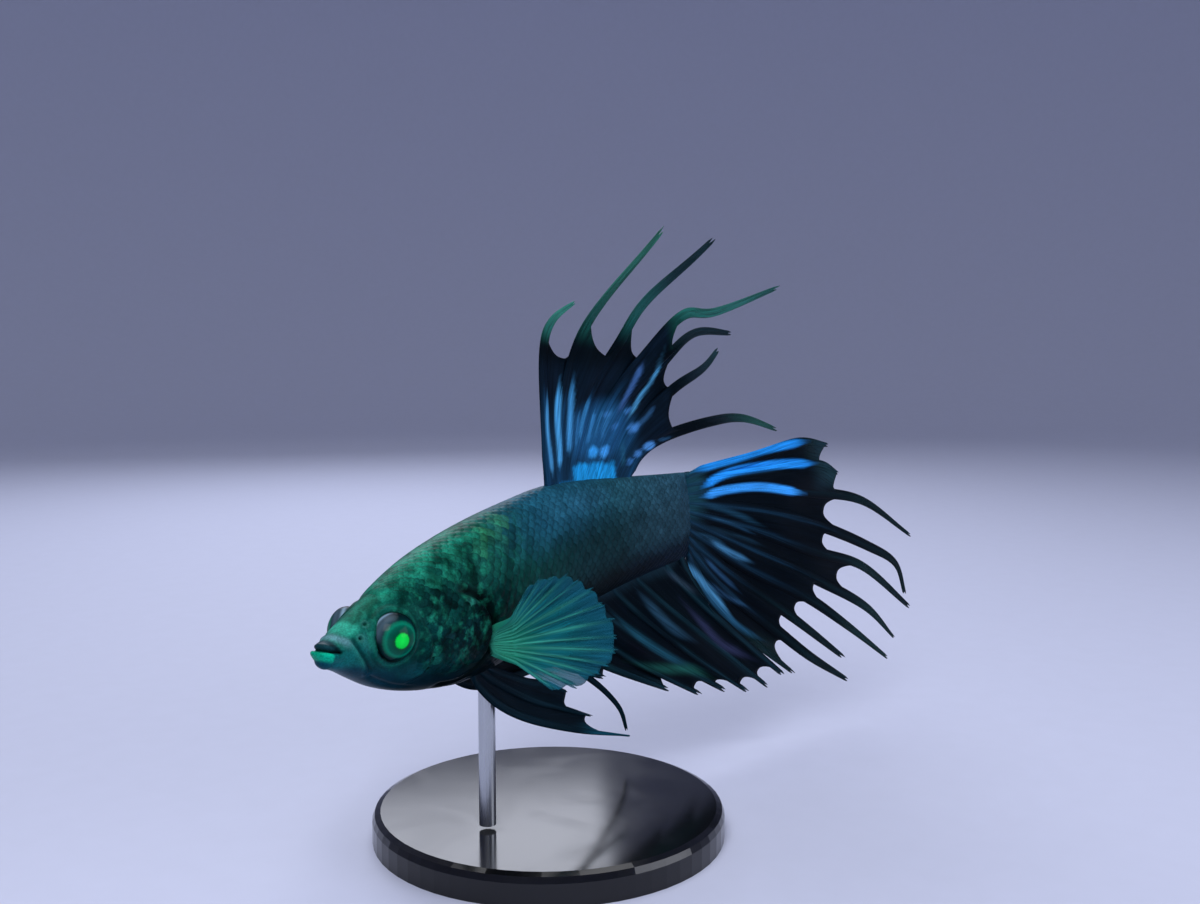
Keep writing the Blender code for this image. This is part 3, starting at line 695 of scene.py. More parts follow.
def polished_acrylic():
    """Black cast acrylic, polished: deep gloss, dulled in places by faint wiping marks of 6 mm."""
    material, tree, shader = new_material("stand_acrylic_polished", roughness=0.12, ior=1.49,
                                          base_color=rgba("#0b0c0f"))
    where = add(tree, 'ShaderNodeTexCoord')
    marks = add(tree, 'ShaderNodeTexNoise', {"Vector": where.outputs["Object"], "Scale": 1 / 0.00625,
                                             "Detail": 4.0, "Distortion": 1.0})
    gloss = add(tree, 'ShaderNodeMapRange', {"Value": marks.outputs["Fac"], "From Min": 0.45,
                                             "From Max": 0.7, "To Min": 0.13, "To Max": 0.19})
    tree.links.new(gloss.outputs[0], shader.inputs["Roughness"])
    return material


def drawn_steel():
    """Stainless steel rod, drawn through a die: fine lines of about 0.05 mm across and 2.5 mm along
    its length, so its gloss is broken up into streaks."""
    material, tree, shader = new_material("stand_steel_drawn", roughness=0.28, metallic=1.0,
                                          base_color=rgba("#b9bcc0"))
    where = add(tree, 'ShaderNodeTexCoord')
    stretched = add(tree, 'ShaderNodeVectorMath', {0: where.outputs["Object"],
                                                   1: (1 / 0.00005, 1 / 0.00005, 1 / 0.0025)},
                    operation='MULTIPLY')
    lines = add(tree, 'ShaderNodeTexNoise', {"Vector": stretched.outputs[0], "Scale": 1.0})
    gloss = add(tree, 'ShaderNodeMapRange', {"Value": lines.outputs["Fac"], "To Min": 0.18,
                                             "To Max": 0.42})
    bump = add(tree, 'ShaderNodeBump', {"Height": lines.outputs["Fac"], "Strength": 0.15,
                                        "Distance": 0.00001})
    tree.links.new(gloss.outputs[0], shader.inputs["Roughness"])
    tree.links.new(bump.outputs[0], shader.inputs["Normal"])
    return material


def studio_paper(name, code):
    """Matt background paper with faint fibres, drawn 2.5 mm long so that they show."""
    material, tree, shader = new_material(name, roughness=0.9)
    where = add(tree, 'ShaderNodeTexCoord')
    fibres = add(tree, 'ShaderNodeTexNoise', {"Vector": where.outputs["Object"], "Scale": 1 / 0.0025,
                                              "Detail": 2.0})
    tint = add(tree, 'ShaderNodeMix', {0: fibres.outputs["Fac"], 6: rgba(code),
                                       7: tuple(0.96 * c for c in linear(code)) + (1.0,)},
               data_type='RGBA')
    tree.links.new(tint.outputs[2], shader.inputs["Base Color"])
    return material


# ------------------------------------------------------------------ skin and eyes

SKIN_COLUMNS = 224
HEAD_RINGS_TO, TRUNK_RINGS_TO = 34, 98  # where the skin's rings get wider apart, and closer again
HEAD_RING_STEP, TRUNK_RING_STEP = 0.21, 0.5


def with_poles(grid):
    """Values of a grid of points as a list, then the means of its first and of its last ring."""
    return np.vstack([grid.reshape(-1, grid.shape[-1]), grid[0].mean(0), grid[-1].mean(0)])


def build_skin():
    """One closed skin from lips to tail root, finest on the head."""
    rings = np.concatenate([NOSE_ROUND * (1 - np.cos(np.linspace(0.12, math.pi / 2, 14))),
                            np.arange(NOSE_ROUND + 0.2, HEAD_RINGS_TO, HEAD_RING_STEP),
                            np.arange(HEAD_RINGS_TO, TRUNK_RINGS_TO, TRUNK_RING_STEP),
                            np.linspace(TRUNK_RINGS_TO, SKIN_END, 7)])
    turns = np.arange(SKIN_COLUMNS) * 2 * math.pi / SKIN_COLUMNS
    s, turn = np.meshgrid(rings, turns, indexing='ij')
    _, w, h = body_surface(s, turn)
    faces = turned_round(capped_faces(len(rings), SKIN_COLUMNS))
    tint = with_poles(solid(body_colour(s, w, h, np.cos(turn))))
    bloom = with_poles(bloom_at(s, h, np.cos(turn))[..., None])
    mesh = make_mesh("betta_skin", with_poles(skin_points(s, turn)), faces, tint=tint, bloom=bloom.ravel())
    skin = make_object("betta_skin", mesh, wet_skin())
    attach(skin, "root")
    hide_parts("head", "jaw_lower", "gill_cover_left", "gill_cover_right", "trunk", "tail_root")
    return skin


def build_eye(side, label, material):
    """Eyeball with a slight bulge of the lens; its axis looks outwards and forwards.

    Its points are given by p, the angle from that axis, and q, the angle round it. For the
    material, reach is 0 at the pupil's middle, 1 at the rim and 2 at the back, spokes is a place on
    a ring, for lines that run outwards, and a third value paints a reflection: the silvery crescent
    at the rim.
    """
    rings, columns = 39, 64
    polar = np.linspace(0, math.pi, rings + 2)[1:-1]
    spin = np.arange(columns) * 2 * math.pi / columns
    p, q = np.meshgrid(polar, spin, indexing='ij')
    across = EYE_RADIUS * np.sin(p)
    outward = (EYE_DEPTH + LENS_BULGE * bell(p / 0.42)) * np.cos(p)
    poles = [[0, EYE_DEPTH + LENS_BULGE, 0], [0, -EYE_DEPTH, 0]]
    local = np.vstack([np.stack([across * np.cos(q), outward, across * np.sin(q)], -1).reshape(-1, 3), poles])
    cos, sin = math.cos(EYE_FORWARD), math.sin(EYE_FORWARD)
    body = local @ np.array([[cos, -sin, 0], [sin, cos, 0], [0, 0, 1]]).T + np.array(EYE)
    points = place(body[:, 0], side * body[:, 1], body[:, 2])
    faces = capped_faces(rings, columns)
    if side < 0:
        faces = turned_round(faces)

    reach = np.append(np.where(p < math.pi / 2, np.sin(p), 2 - np.sin(p)).ravel(), [0, 2])
    spokes = np.stack([np.cos(q), np.sin(q), p / 6], -1).reshape(-1, 3)
    spokes = np.vstack([spokes, [[0, 0, 0], [0, 0, 1]]])
    # painted reflection: a silvery crescent near the rim, on one side of the eye only
    glare = 0.85 * bell((p - 1.58) / 0.12) + 0.22 * bell((p - 1.2) / 0.25)
    glare *= smooth_step((np.cos(q - 2.3) - 0.6) / 0.35)
    mesh = make_mesh(f"eyeball_{label}", points, faces, reach=reach, spokes=spokes,
                     glare=np.append(glare.ravel(), [0, 0]))
    eye = make_object(f"eyeball_{label}", mesh, material)
    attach(eye, "root")
    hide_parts(f"eye_{label}")


# ------------------------------------------------------------------ scales

SCALES_ROUND = [(0, 42), (20, 36), (31, 30)]    # from s on: scales round the body in a ring
SCALES_FROM, SCALES_TO = 9.0, 99.2      # s of the first ring, and where the rings end
SCALE_STEP = 0.5                        # between rings, as a share of a scale's share of its ring
SCALE_LONG, SCALE_WIDE = 2.1, 1.22      # a scale's own size, against its share of its ring
SCALE_SIDES = 14
SCALE_RINGS = [1.0, 0.93, 0.5]          # its rings of points, as shares of its half length
HEAD_SCALES_TO = 33
BAKE_PATCH = 0.0015                     # half size of a scale's patch on the bake image
SCALE_SEED = 7


def scale_template():
    """One scale: a thin, slightly domed plate, its free edge at +x, in units of its half length.

    lift is each point's height over the skin, least at the sunk root; rim is 1 at the free edge.
    """
    sides = SCALE_SIDES
    turns = np.arange(sides) * 2 * math.pi / sides
    outer = np.stack([np.cos(turns), np.sin(turns)], -1)
    flat = np.vstack([outer * share for share in SCALE_RINGS] + [[[0, 0]]])
    ring = np.append(np.repeat(SCALE_RINGS, sides), 0.0)
    slope = 0.034 * (flat[:, 0] + 1) - 0.012
    lift = slope + 0.02 * (1 - ring**2)
    lift[:sides] = slope[:sides] - 0.03             # the edge reaches down to the skin
    faces = grid_quads(len(SCALE_RINGS), sides, closed=True).tolist()
    middle = len(flat) - 1
    inner = middle - sides
    faces += [(inner + k, inner + (k + 1) % sides, middle) for k in range(sides)]
    faces.append(tuple(reversed(range(sides))))     # the underside
    local = np.column_stack([flat, np.zeros(len(flat))])
    rim = np.clip(0.5 + 0.5 * flat[:, 0], 0, 1) * ring
    return make_mesh("scale_template", local, faces, lift=lift, rim=rim, local=local)


def scale_width(s, count):
    """Share of the way round the body at s that each of count scales has, in percent of the length."""
    top, bottom, half, _ = section(s)
    return math.pi * np.sqrt(2 * (((top - bottom) / 2)**2 + half**2)) / count


def scale_roots():
    """Places of all scales in staggered rings: s, turn and the ring's count of scales."""
    rings = []
    s = SCALES_FROM
    while s < SCALES_TO:
        count = [number for start, number in SCALES_ROUND if s >= start][-1]
        turns = (np.arange(count) + 0.5 * (len(rings) % 2)) * 2 * math.pi / count
        turns = (turns + math.pi) % (2 * math.pi) - math.pi
        rings.append(np.column_stack([np.full(count, s), turns, np.full(count, count)]))
        s += SCALE_STEP * float(scale_width(np.array(s), count))
    return np.vstack(rings)


def scale_tree():
    """Sets a scale on each root, lays it on the skin's own surface and gives it its bake patch."""
    tree, group = new_tree("lay_scales", [("Skin", 'NodeSocketObject'), ("Scale", 'NodeSocketObject'),
                                          ("Material", 'NodeSocketMaterial'),
                                          ("Patch", 'NodeSocketFloat')])
    skin = add(tree, 'GeometryNodeObjectInfo', {"Object": group.outputs["Skin"]})
    plate = add(tree, 'GeometryNodeObjectInfo', {"Object": group.outputs["Scale"]})
    turn = add(tree, 'GeometryNodeInputNamedAttribute', {"Name": "turn"}, data_type='FLOAT_VECTOR')
    size = add(tree, 'GeometryNodeInputNamedAttribute', {"Name": "size"}, data_type='FLOAT_VECTOR')
    laid = add(tree, 'GeometryNodeInstanceOnPoints', {
        "Points": group.outputs["Geometry"], "Instance": plate.outputs["Geometry"],
        "Rotation": turn.outputs["Attribute"], "Scale": size.outputs["Attribute"]})
    real = add(tree, 'GeometryNodeRealizeInstances', {"Geometry": laid.outputs["Instances"]})
    where = add(tree, 'GeometryNodeInputPosition')
    facing = add(tree, 'GeometryNodeInputNormal')
    ground = add(tree, 'GeometryNodeSampleNearestSurface', {
        "Mesh": skin.outputs["Geometry"], "Value": where.outputs[0]}, data_type='FLOAT_VECTOR')
    up = add(tree, 'GeometryNodeSampleNearestSurface', {
        "Mesh": skin.outputs["Geometry"], "Value": facing.outputs[0]}, data_type='FLOAT_VECTOR')
    lift = add(tree, 'GeometryNodeInputNamedAttribute', {"Name": "lift"}, data_type='FLOAT')
    long = add(tree, 'ShaderNodeSeparateXYZ', {0: size.outputs["Attribute"]})
    height = add(tree, 'ShaderNodeMath', {0: lift.outputs["Attribute"], 1: long.outputs["X"]},
                 operation='MULTIPLY')
    raised = add(tree, 'ShaderNodeVectorMath', {0: up.outputs[0], "Scale": height.outputs[0]},
                 operation='SCALE')
    target = add(tree, 'ShaderNodeVectorMath', {0: ground.outputs[0], 1: raised.outputs[0]})
    moved = add(tree, 'GeometryNodeSetPosition', {"Geometry": real.outputs[0],
                                                  "Position": target.outputs[0]})
    root = add(tree, 'GeometryNodeInputNamedAttribute', {"Name": "root"}, data_type='FLOAT_VECTOR')
    local = add(tree, 'GeometryNodeInputNamedAttribute', {"Name": "local"}, data_type='FLOAT_VECTOR')
    spread = add(tree, 'ShaderNodeVectorMath', {0: local.outputs["Attribute"],
                                                "Scale": group.outputs["Patch"]}, operation='SCALE')
    patch = add(tree, 'ShaderNodeVectorMath', {0: root.outputs["Attribute"], 1: spread.outputs[0]})
    mapped = add(tree, 'GeometryNodeStoreNamedAttribute', {
        "Geometry": moved.outputs[0], "Name": "OFBake", "Value": patch.outputs[0]},
        data_type='FLOAT2', domain='CORNER')
    painted = add(tree, 'GeometryNodeSetMaterial', {"Geometry": mapped.outputs[0],
                                                    "Material": group.outputs["Material"]})
    add(tree, 'NodeGroupOutput', {"Geometry": painted.outputs[0]})
    return tree


def scaled_here(s, w, h, rise):
    """True where the skin carries scales: not on face and throat or across the head's openings and
    folds, and only up to a ragged edge at the tail root."""
    gill, opening = gill_distance(s, h)
    on_gill_gap = (gill > -1.6) & (gill < 2.7) & (opening > 0.01) & (s < 35)
    cheek, share = line_distance(s, h, CHEEK_LINE)
    past_cheek_end = (share < 0.02) | (share > 0.98)
    on_cheek_line = (np.abs(cheek + 0.3) < 0.9) | ((np.abs(cheek) < 1.3) & past_cheek_end)
    crease, share = line_distance(s, h, LIP_CREASE)
    on_crease = (np.abs(crease) < 0.7) & (share < 0.98)
    face = (s < 10) | ((s < 15.5) & (rise < 0.45)) | ((s < 20) & (rise < -0.55))
    by_eye = ((eye_distance(s, w, h) < EYE_RADIUS + 2.3) & (s < 20)) | ((s < 13.5) & (rise < 0.72))
    throat = (s < 27) & (rise < -0.8 + 0.012 * s)
    past_end = s > 97.3 + 1.3 * np.sin(2.3 * h + 0.6) + 0.9 * np.sin(6.1 * h + np.sign(w))
    return ~(on_gill_gap | on_cheek_line | on_crease | face | by_eye | throat | past_end)


def build_scales(skin):
    """The scales as two pieces, each scale with the skin's colour at its root and its own shade."""
    s, turn, count = scale_roots().T
    _, w, h = body_surface(s, turn)
    rise = np.cos(turn)
    keep = scaled_here(s, w, h, rise)
    s, turn, count, w, h, rise = (v[keep] for v in (s, turn, count, w, h, rise))
    width = scale_width(s, count) * PERCENT
    _, normal, along = bare_frame(s, turn)
    turns = []
    for n, a in zip(normal, along):
        x = Vector(a - n * (a @ n)).normalized()
        z = Vector(n)
        y = z.cross(x)
        turns.append(Matrix((x, y, z)).transposed().to_euler())
    values = {
        "turn": np.array(turns),
        "size": 0.5 * width[:, None] * [SCALE_LONG, SCALE_WIDE, SCALE_LONG],
        "shade": np.random.default_rng(SCALE_SEED).uniform(0.8, 1.22, len(s)),
        "tint": solid(body_colour(s, w, h, rise)),
        "bloom": bloom_at(s, h, rise),
        "root": np.column_stack([0.01 + 0.98 * s / 100, 0.01 + 0.98 * (turn + math.pi) / (2 * math.pi),
                                 np.zeros(len(s))]),
    }
    points = skin_points(s, turn)
    template = make_object("scale_template", scale_template())
    material = pearly_scale()
    tree = scale_tree()
    for name, chosen in (("scales_head", s < HEAD_SCALES_TO), ("scales_flanks", s >= HEAD_SCALES_TO)):
        roots = make_mesh(f"{name}_roots", points[chosen], [],
                          **{key: value[chosen] for key, value in values.items()})
        inputs = {"Skin": skin, "Scale": template, "Material": material, "Patch": BAKE_PATCH}
        piece = baked(make_object(f"{name}_roots", roots), name, tree, inputs, material)
        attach(piece, "root")
    bpy.data.objects.remove(template)


# ------------------------------------------------------------------ fins

BLADE_TIP = 0.95                        # width of a ray's blade of skin at its tip
BLADE_STEP, WEB_STEP = 0.7, 0.8         # spacing of the points along a blade and along a web
FORK_ACROSS = [-1, -0.62, 0, 0.5, 1]    # places across a blade's end, from one edge to the other
FORK_SHORT = [1.6, 0.5, 1.7, 0.0, 1.3]  # and how much shorter the blade is there
ROOT_NARROWING = 0.12                   # share of a ray over which its blade gets its full width
ROOT_SWELL = 2.0                        # distance over which blades and webs thin out from the root
# half thickness at the free edge, what is added towards the ray or the body, and what at the root
BLADE_HALF = (0.035, 0.2, 0.4)
WEB_HALF = (0.07, 0.05, 0.42)
WEB_CLIMB = 0.12                        # how far past its notch a web climbs its rays, as a share
BONES_APART = 0.46                      # a blade's two bones from its middle, in its half width
BONES_SHORT = 1.2                       # how far before the tip they end
MINOR_BONE = 0.62                       # radius of a thin ray's bone against a main one's
BONE_SIDES = 6
ROOT_DEPTH = 1.2                        # how far rays on back and belly start inside the body
BONE_LIGHT = 1.15                       # brightness of a ray's bone against the web at its side

# Rays of the fins on back and belly: s of the root, then the ray's way out in (s, h). Notches are
# the deepest places of the free edge between one ray and the next.
DORSAL_RAYS = [
    (60.8, [(61.6, 27), (63.2, 36.6), (66, 41), (71.6, 43.8)]),
    (63.4, [(66.5, 25), (71.3, 35.5), (78, 43.6), (92.2, 55.9)]),
    (66, [(72.5, 25), (81, 35), (88.5, 43.5), (106.1, 53.4)]),
    (69.4, [(77, 23), (87, 32.3), (96, 39.2), (105, 39.2), (125.6, 42.4)]),
    (73, [(80.5, 21.5), (91, 30.4), (99, 35.6), (109.5, 34.6)]),
    (76.8, [(84, 18.8), (93.8, 25.3), (101.5, 28.6), (105.6, 32)]),
    (81, [(85, 14.2), (91.4, 16.6), (103, 17.8), (112, 17.4), (122, 13.6)]),
]
DORSAL_NOTCHES = [(68, 34.2), (77, 34), (85.5, 32.6), (93.5, 33.2), (92.4, 26.5), (92.6, 18.9)]

CAUDAL_ROOTS = 8.0, -7.4                # h of the first and the last ray's root
CAUDAL_ROOT_S = 96.4                    # s of them all, inside the tail root
CAUDAL_RAYS = [
    [(112, 8.8), (128, 10), (139.5, 7.6)],
    [(116, 5.6), (134, 4.4), (142.5, 0.9)],
    [(115, 2.8), (133, -1.4), (151.5, -7), (169.4, -18.6)],
    [(116, -2.2), (133.5, -8.6), (152, -17.2), (163, -23.8), (166.5, -32)],
    [(115, -6), (133, -14.4), (150, -21.6), (168.6, -35.8)],
    [(115, -10.6), (133, -20.6), (150, -30.8), (161, -41)],
    [(113, -13.6), (129, -23.2), (143, -33.4), (157.8, -44.9)],
    [(109, -14.6), (124, -26), (141.8, -40.6)],
    [(106, -16.2), (119.5, -27.6), (131, -37.4), (143.2, -46.2)],
    [(101.6, -16.6), (111.6, -27), (127, -40.6)],
]
CAUDAL_NOTCHES = [(136.5, 5), (139.5, -0.6), (136.6, -5.9), (134.2, -11.4), (140.5, -21.2),
                  (131, -21.1), (126.8, -25), (121.6, -26.2), (122, -32.4)]

ANAL_RAYS = [
    (46.6, [(51, -16.6), (57, -19.6)]),
    (51.4, [(61.5, -20), (73, -26.2)]),
    (57.4, [(70, -21.8), (88.6, -32.8)]),
    (64, [(77.5, -22.6), (97, -36.2)]),
    (69.6, [(84, -23), (104, -37.4)]),
    (75.6, [(90, -23), (110.4, -39.4)]),
    (81.8, [(95.5, -21.8), (116.4, -40)]),
    (89.6, [(100.6, -19.8), (111.4, -30), (121, -38.6)]),
    (94.2, [(97.2, -12.6), (100.2, -17.8)]),
]
ANAL_NOTCHES = [(57.6, -18.4), (72, -24), (87, -29.8), (94.8, -33.2), (101.6, -34.8), (107.8, -36),
                (114, -35.8), (100.2, -18.2)]
ANAL_SHIFT = 2.2                        # how far the fin's free edge swings to the left

PELVIC_RAYS = {
    "left": [
        (31.4, [(37.4, -18.2), (46, -24.2), (59, -30.6), (72, -35.6)]),
        (33.2, [(45, -19.8), (54, -24.8), (62.4, -29)]),
        (35, [(45, -17.2), (51, -19.6), (56.4, -22.6)]),
    ],
    "right": [
        (31.4, [(42, -18), (54, -20.2), (65, -21.6), (73.4, -27.8), (79.8, -35), (81.8, -40.8)]),
        (34, [(44, -15.6), (55, -17.2)]),
    ],
}
PELVIC_NOTCHES = {"left": [(60.6, -28.8), (55, -23.2)], "right": [(56, -18.6)]}
PELVIC_ROOT_W = 3.2                     # distance of the roots from the middle
PELVIC_ROOT_H = -11.4
PELVIC_SPLAY_FROM = (33, -13)           # (s, h) from which the fins spread outwards
PELVIC_SPLAY = {"left": 0.1, "right": 0}    # and by how much

PECTORAL_ROOT = (32.4, 9.2, -5.8)       # s, distance from the middle, h
PECTORAL_ROOT_HEIGHT = 3.6
PECTORAL_ROOT_DEPTH = 0.6               # how far in front of PECTORAL_ROOT its rays start
PECTORAL_RAY_COUNT = 14
# the fan from its upper to its lower edge: direction in degrees over the body's axis, and length
PECTORAL_FAN = [(76, 9), (50, 12), (30, 15.4), (10, 19), (-7, 22), (-19, 22.4), (-31, 19), (-54, 12)]
PECTORAL_FLARE = {"left": 0.42, "right": 0.5}   # how steeply it stands off the body
PECTORAL_TOP = {"left": 1.0, "right": 0.72}     # length of the upper edge, against the table's
PECTORAL_TOP_RAYS = 4                   # and how many rays share in that
PECTORAL_SINK = 2.4                     # how far the root reaches in towards the body


def nearest_share(ray, target):
    """Share of a ray at which it comes nearest to a point."""
    t = np.linspace(0, 1, 241)
    away = np.linalg.norm(curve_points(ray, t) - np.asarray(target), axis=1)
    return float(t[np.argmin(away)])


def ray_length(ray):
    """Length of a ray from root to tip, in percent of the fish's length."""
    steps = np.diff(curve_points(ray, np.linspace(0, 1, 60)), axis=0)
    return float(np.sum(np.linalg.norm(steps, axis=1)))


class Patches:
    """Gathers the patches of one mesh piece."""

    def __init__(self):
        self.points, self.faces, self.edges = [], [], []
        self.values = {}
        self.count = 0

    def gather(self, points, faces, edges, values):
        """Adds a patch, with its faces and edges given in its own count of points."""
        self.points.append(points)
        self.faces.append(faces + self.count)
        self.edges.append(edges + self.count)
        for key, value in values.items():
            self.values.setdefault(key, []).append(value)
        self.count += len(points)

    def add_shell(self, middle, half, tint, run):
        """Closed thin shell about a grid of middle points, with the same values on both faces."""
        rows, columns = middle.shape[:2]
        normal = np.cross(np.gradient(middle, axis=1), np.gradient(middle, axis=0))
        normal /= np.maximum(np.linalg.norm(normal, axis=-1, keepdims=True), 1e-12)
        offset = normal * (half * PERCENT)[..., None]
        points = np.vstack([(middle + offset).reshape(-1, 3), (middle - offset).reshape(-1, 3)])
        quads = grid_quads(rows, columns)
        below = rows * columns
        index = np.arange(below).reshape(rows, columns)
        rim = np.concatenate([index[0, :-1], index[:-1, -1], index[-1, :0:-1], index[:0:-1, 0]])
        after = np.roll(rim, -1)
        sides = np.stack([after, rim, rim + below, after + below], -1)
        faces = np.vstack([quads, quads[:, ::-1] + below, sides])
        values = {"tint": np.tile(tint.reshape(-1, 4), (2, 1)), "run": np.tile(run.reshape(-1, 3), (2, 1))}
        self.gather(points, faces, np.zeros((0, 2), int), values)

    def add_line(self, points, radius, tint, run):
        """A line with a radius at each point, which the ray tree turns into a tube."""
        edges = np.column_stack([np.arange(len(points) - 1), np.arange(1, len(points))])
        self.gather(points, np.zeros((0, 4), int), edges,
                    {"tint": tint, "run": run, "radius": radius * PERCENT})

    def mesh(self, name):
        """All the patches as one mesh."""
        return make_mesh(name, np.vstack(self.points), np.vstack(self.faces).tolist(),
                         np.vstack(self.edges).tolist(),
                         **{key: np.concatenate(value) for key, value in self.values.items()})


class Web:
    """The web between two neighbouring rays, up to a notch in its free edge.

    Places on it are given by a, from 0 on the first ray to 1 on the second, and tau, from 0 at the
    root to 1 at the free edge. The edge climbs a little along both rays, which draws it into a cusp.
    """

    def __init__(self, first, second, notch):
        self.first, self.second = first, second
        self.ends = nearest_share(first, notch), nearest_share(second, notch)
        self.pull = 0.0                     # until it is known how far the notch lies off
        top, _ = self.points(np.array([0.5]), np.array([1.0]))
        self.pull = np.asarray(notch) - top[0]

    def points(self, a, tau):
        """(s, h) of places on the web, and how far out along the rays they are."""
        climb = np.abs(2 * a - 1)**3.0
        first_end, second_end = (end + (min(0.96, end + WEB_CLIMB) - end) * climb for end in self.ends)
        flat = ((1 - a)[..., None] * curve_points(self.first, tau * first_end)
                + a[..., None] * curve_points(self.second, tau * second_end))
        bend = tau**2 * (1 - np.abs(2 * a - 1)**2)
        return flat + bend[..., None] * self.pull, tau * ((1 - a) * first_end + a * second_end)

    def gap(self, tau):
        """Distance between the two rays at tau."""
        return np.linalg.norm(curve_points(self.first, tau * self.ends[0])
                              - curve_points(self.second, tau * self.ends[1]), axis=-1)


class Fin:
    """A fin of web patches between its rays, a tapering blade of skin along each ray, and bones.

    sway gives w at (s, h); paint gives colour and opacity at (ray, off, share, s, h), where off is
    the distance from the nearest ray's line and share is how far out along the ray a point is.
    minor is the count of thin rays in each web, and ruffle is how deep the webs are folded.
    """

    def __init__(self, rays, notches, base_width, sway, paint, minor=2, ruffle=0.6, bone=0.11,
                 columns=19, tip_width=BLADE_TIP):
        self.rays, self.notches = rays, notches
        self.base_width, self.tip_width = base_width, tip_width
        self.sway, self.paint = sway, paint
        self.minor, self.ruffle, self.columns = minor, ruffle, columns
        self.bone = bone * MILLIMETRE
        self.lengths = [ray_length(ray) for ray in rays]
        self.webs, self.bones = Patches(), Patches()
        for i in range(len(rays)):
            self.add_blade(i)
        for i in range(len(notches)):
            self.add_web(i)

    def world(self, s, h, extra=0.0):
        """Positions in metres of (s, h) on the fin's sheet, or a little to the right of it."""
        return place(s, self.sway(s, h) + extra, h)

    def add_bone(self, i, s, h, extra, radius, off, share):
        """A ray's bone along (s, h), at i, which counts the rays and lies between for a minor one."""
        tint = self.paint(np.full(len(s), float(i)), off, share, s, h)
        tint[:, :3] *= BONE_LIGHT
        run = np.column_stack([np.full(len(s), float(i)), share * self.lengths[int(i)], share])
        self.bones.add_line(self.world(s, h, extra), radius, tint, run)

    def add_blade(self, i):
        """A ray's blade, forked at its end with one branch a little longer, and its pair of bones."""
        ray, length = self.rays[i], self.lengths[i]
        t = np.linspace(0, 1, max(24, int(length / BLADE_STEP)))
        direction = np.gradient(curve_points(ray, t), axis=0)
        direction /= np.linalg.norm(direction, axis=1, keepdims=True)
        side = np.column_stack([-direction[:, 1], direction[:, 0]])
        half = 0.5 * (self.base_width + (self.tip_width - self.base_width) * t**3)
        half = half * np.minimum(1, t / ROOT_NARROWING + 0.2)

        x = np.linspace(-1, 1, 9)
        across = half[:, None] * x
        short = np.interp(x, FORK_ACROSS, FORK_SHORT if i % 2 else FORK_SHORT[::-1])
        share = t[:, None] * (1 - smooth_step((t[:, None] - 0.5) / 0.5) * short / length)
        normal = np.stack([np.interp(share, t, side[:, k]) for k in (0, 1)], -1)
        flat = curve_points(ray, share) + normal * across[..., None]
        s, h = flat[..., 0], flat[..., 1]
        cup = 0.25 * np.sin(1.7 * i + 5 * share) * x * smooth_step((share - 0.5) / 0.4)
        edge, crown, root = BLADE_HALF
        thick = edge + crown * (1 - 0.65 * share) * (1 - x**2) + root * bell(share * length / ROOT_SWELL)
        tint = self.paint(np.full(s.shape, float(i)), np.abs(across), share, s, h)
        run = np.stack([across + 10 * i, share * length, share], -1)
        self.webs.add_shell(self.world(s, h, cup), thick, tint, run)

        apart = BONES_APART * half * smooth_step((t - 0.1) / 0.3)
        radius = self.bone * (1 - 0.72 * t) * (0.85 + 0.15 * np.cos(math.pi * t))
        for branch in (-1, 1):
            line = curve_points(ray, t * (1 - BONES_SHORT / length)) + side * (branch * apart)[:, None]
            self.add_bone(i, line[:, 0], line[:, 1], 0.0, radius, np.zeros(len(t)), t)

    def fold(self, i, a, share, s, h):
        """How far a web leans out of the fin's sheet, to the other side than its neighbours do."""
        wave = 1 + 0.35 * np.sin(0.5 * s + 0.3 * h)
        return self.ruffle * (-1)**i * np.sin(math.pi * a) * smooth_step(share / 0.5) * wave

    def add_web(self, i):
        """The web from ray i to the next, with its points closest along both rays, and its bones."""
        web = Web(self.rays[i], self.rays[i + 1], self.notches[i])
        reach = max(end * length for end, length in zip(web.ends, self.lengths[i:]))
        rows = max(20, int(reach / WEB_STEP))
        a = (1 - np.cos(math.pi * np.linspace(0, 1, self.columns))) / 2
        a, tau = np.broadcast_arrays(a[None, :], np.linspace(0, 1, rows)[:, None])
        flat, share = web.points(a, tau)
        s, h = flat[..., 0], flat[..., 1]
        gap = web.gap(tau)
        edge, inner, root = WEB_HALF
        thick = edge + inner * (1 - share) + root * bell(share * self.lengths[i] / ROOT_SWELL)
        tint = self.paint(i + a, np.minimum(a, 1 - a) * gap, share, s, h)
        run = np.stack([a * gap + 10 * i, share * self.lengths[i], share], -1)
        self.webs.add_shell(self.world(s, h, self.fold(i, a, share, s, h)), thick, tint, run)

        tau = np.linspace(0, 0.985, rows)
        radius = MINOR_BONE * self.bone * (1 - 0.7 * tau)
        for k in range(1, self.minor + 1):
            a = k / (self.minor + 1)
            line, share = web.points(np.full(rows, a), tau)
            s, h = line[:, 0], line[:, 1]
            off = min(a, 1 - a) * web.gap(tau) * 0.6
            self.add_bone(i + a, s, h, self.fold(i, a, share, s, h), radius, off, share)


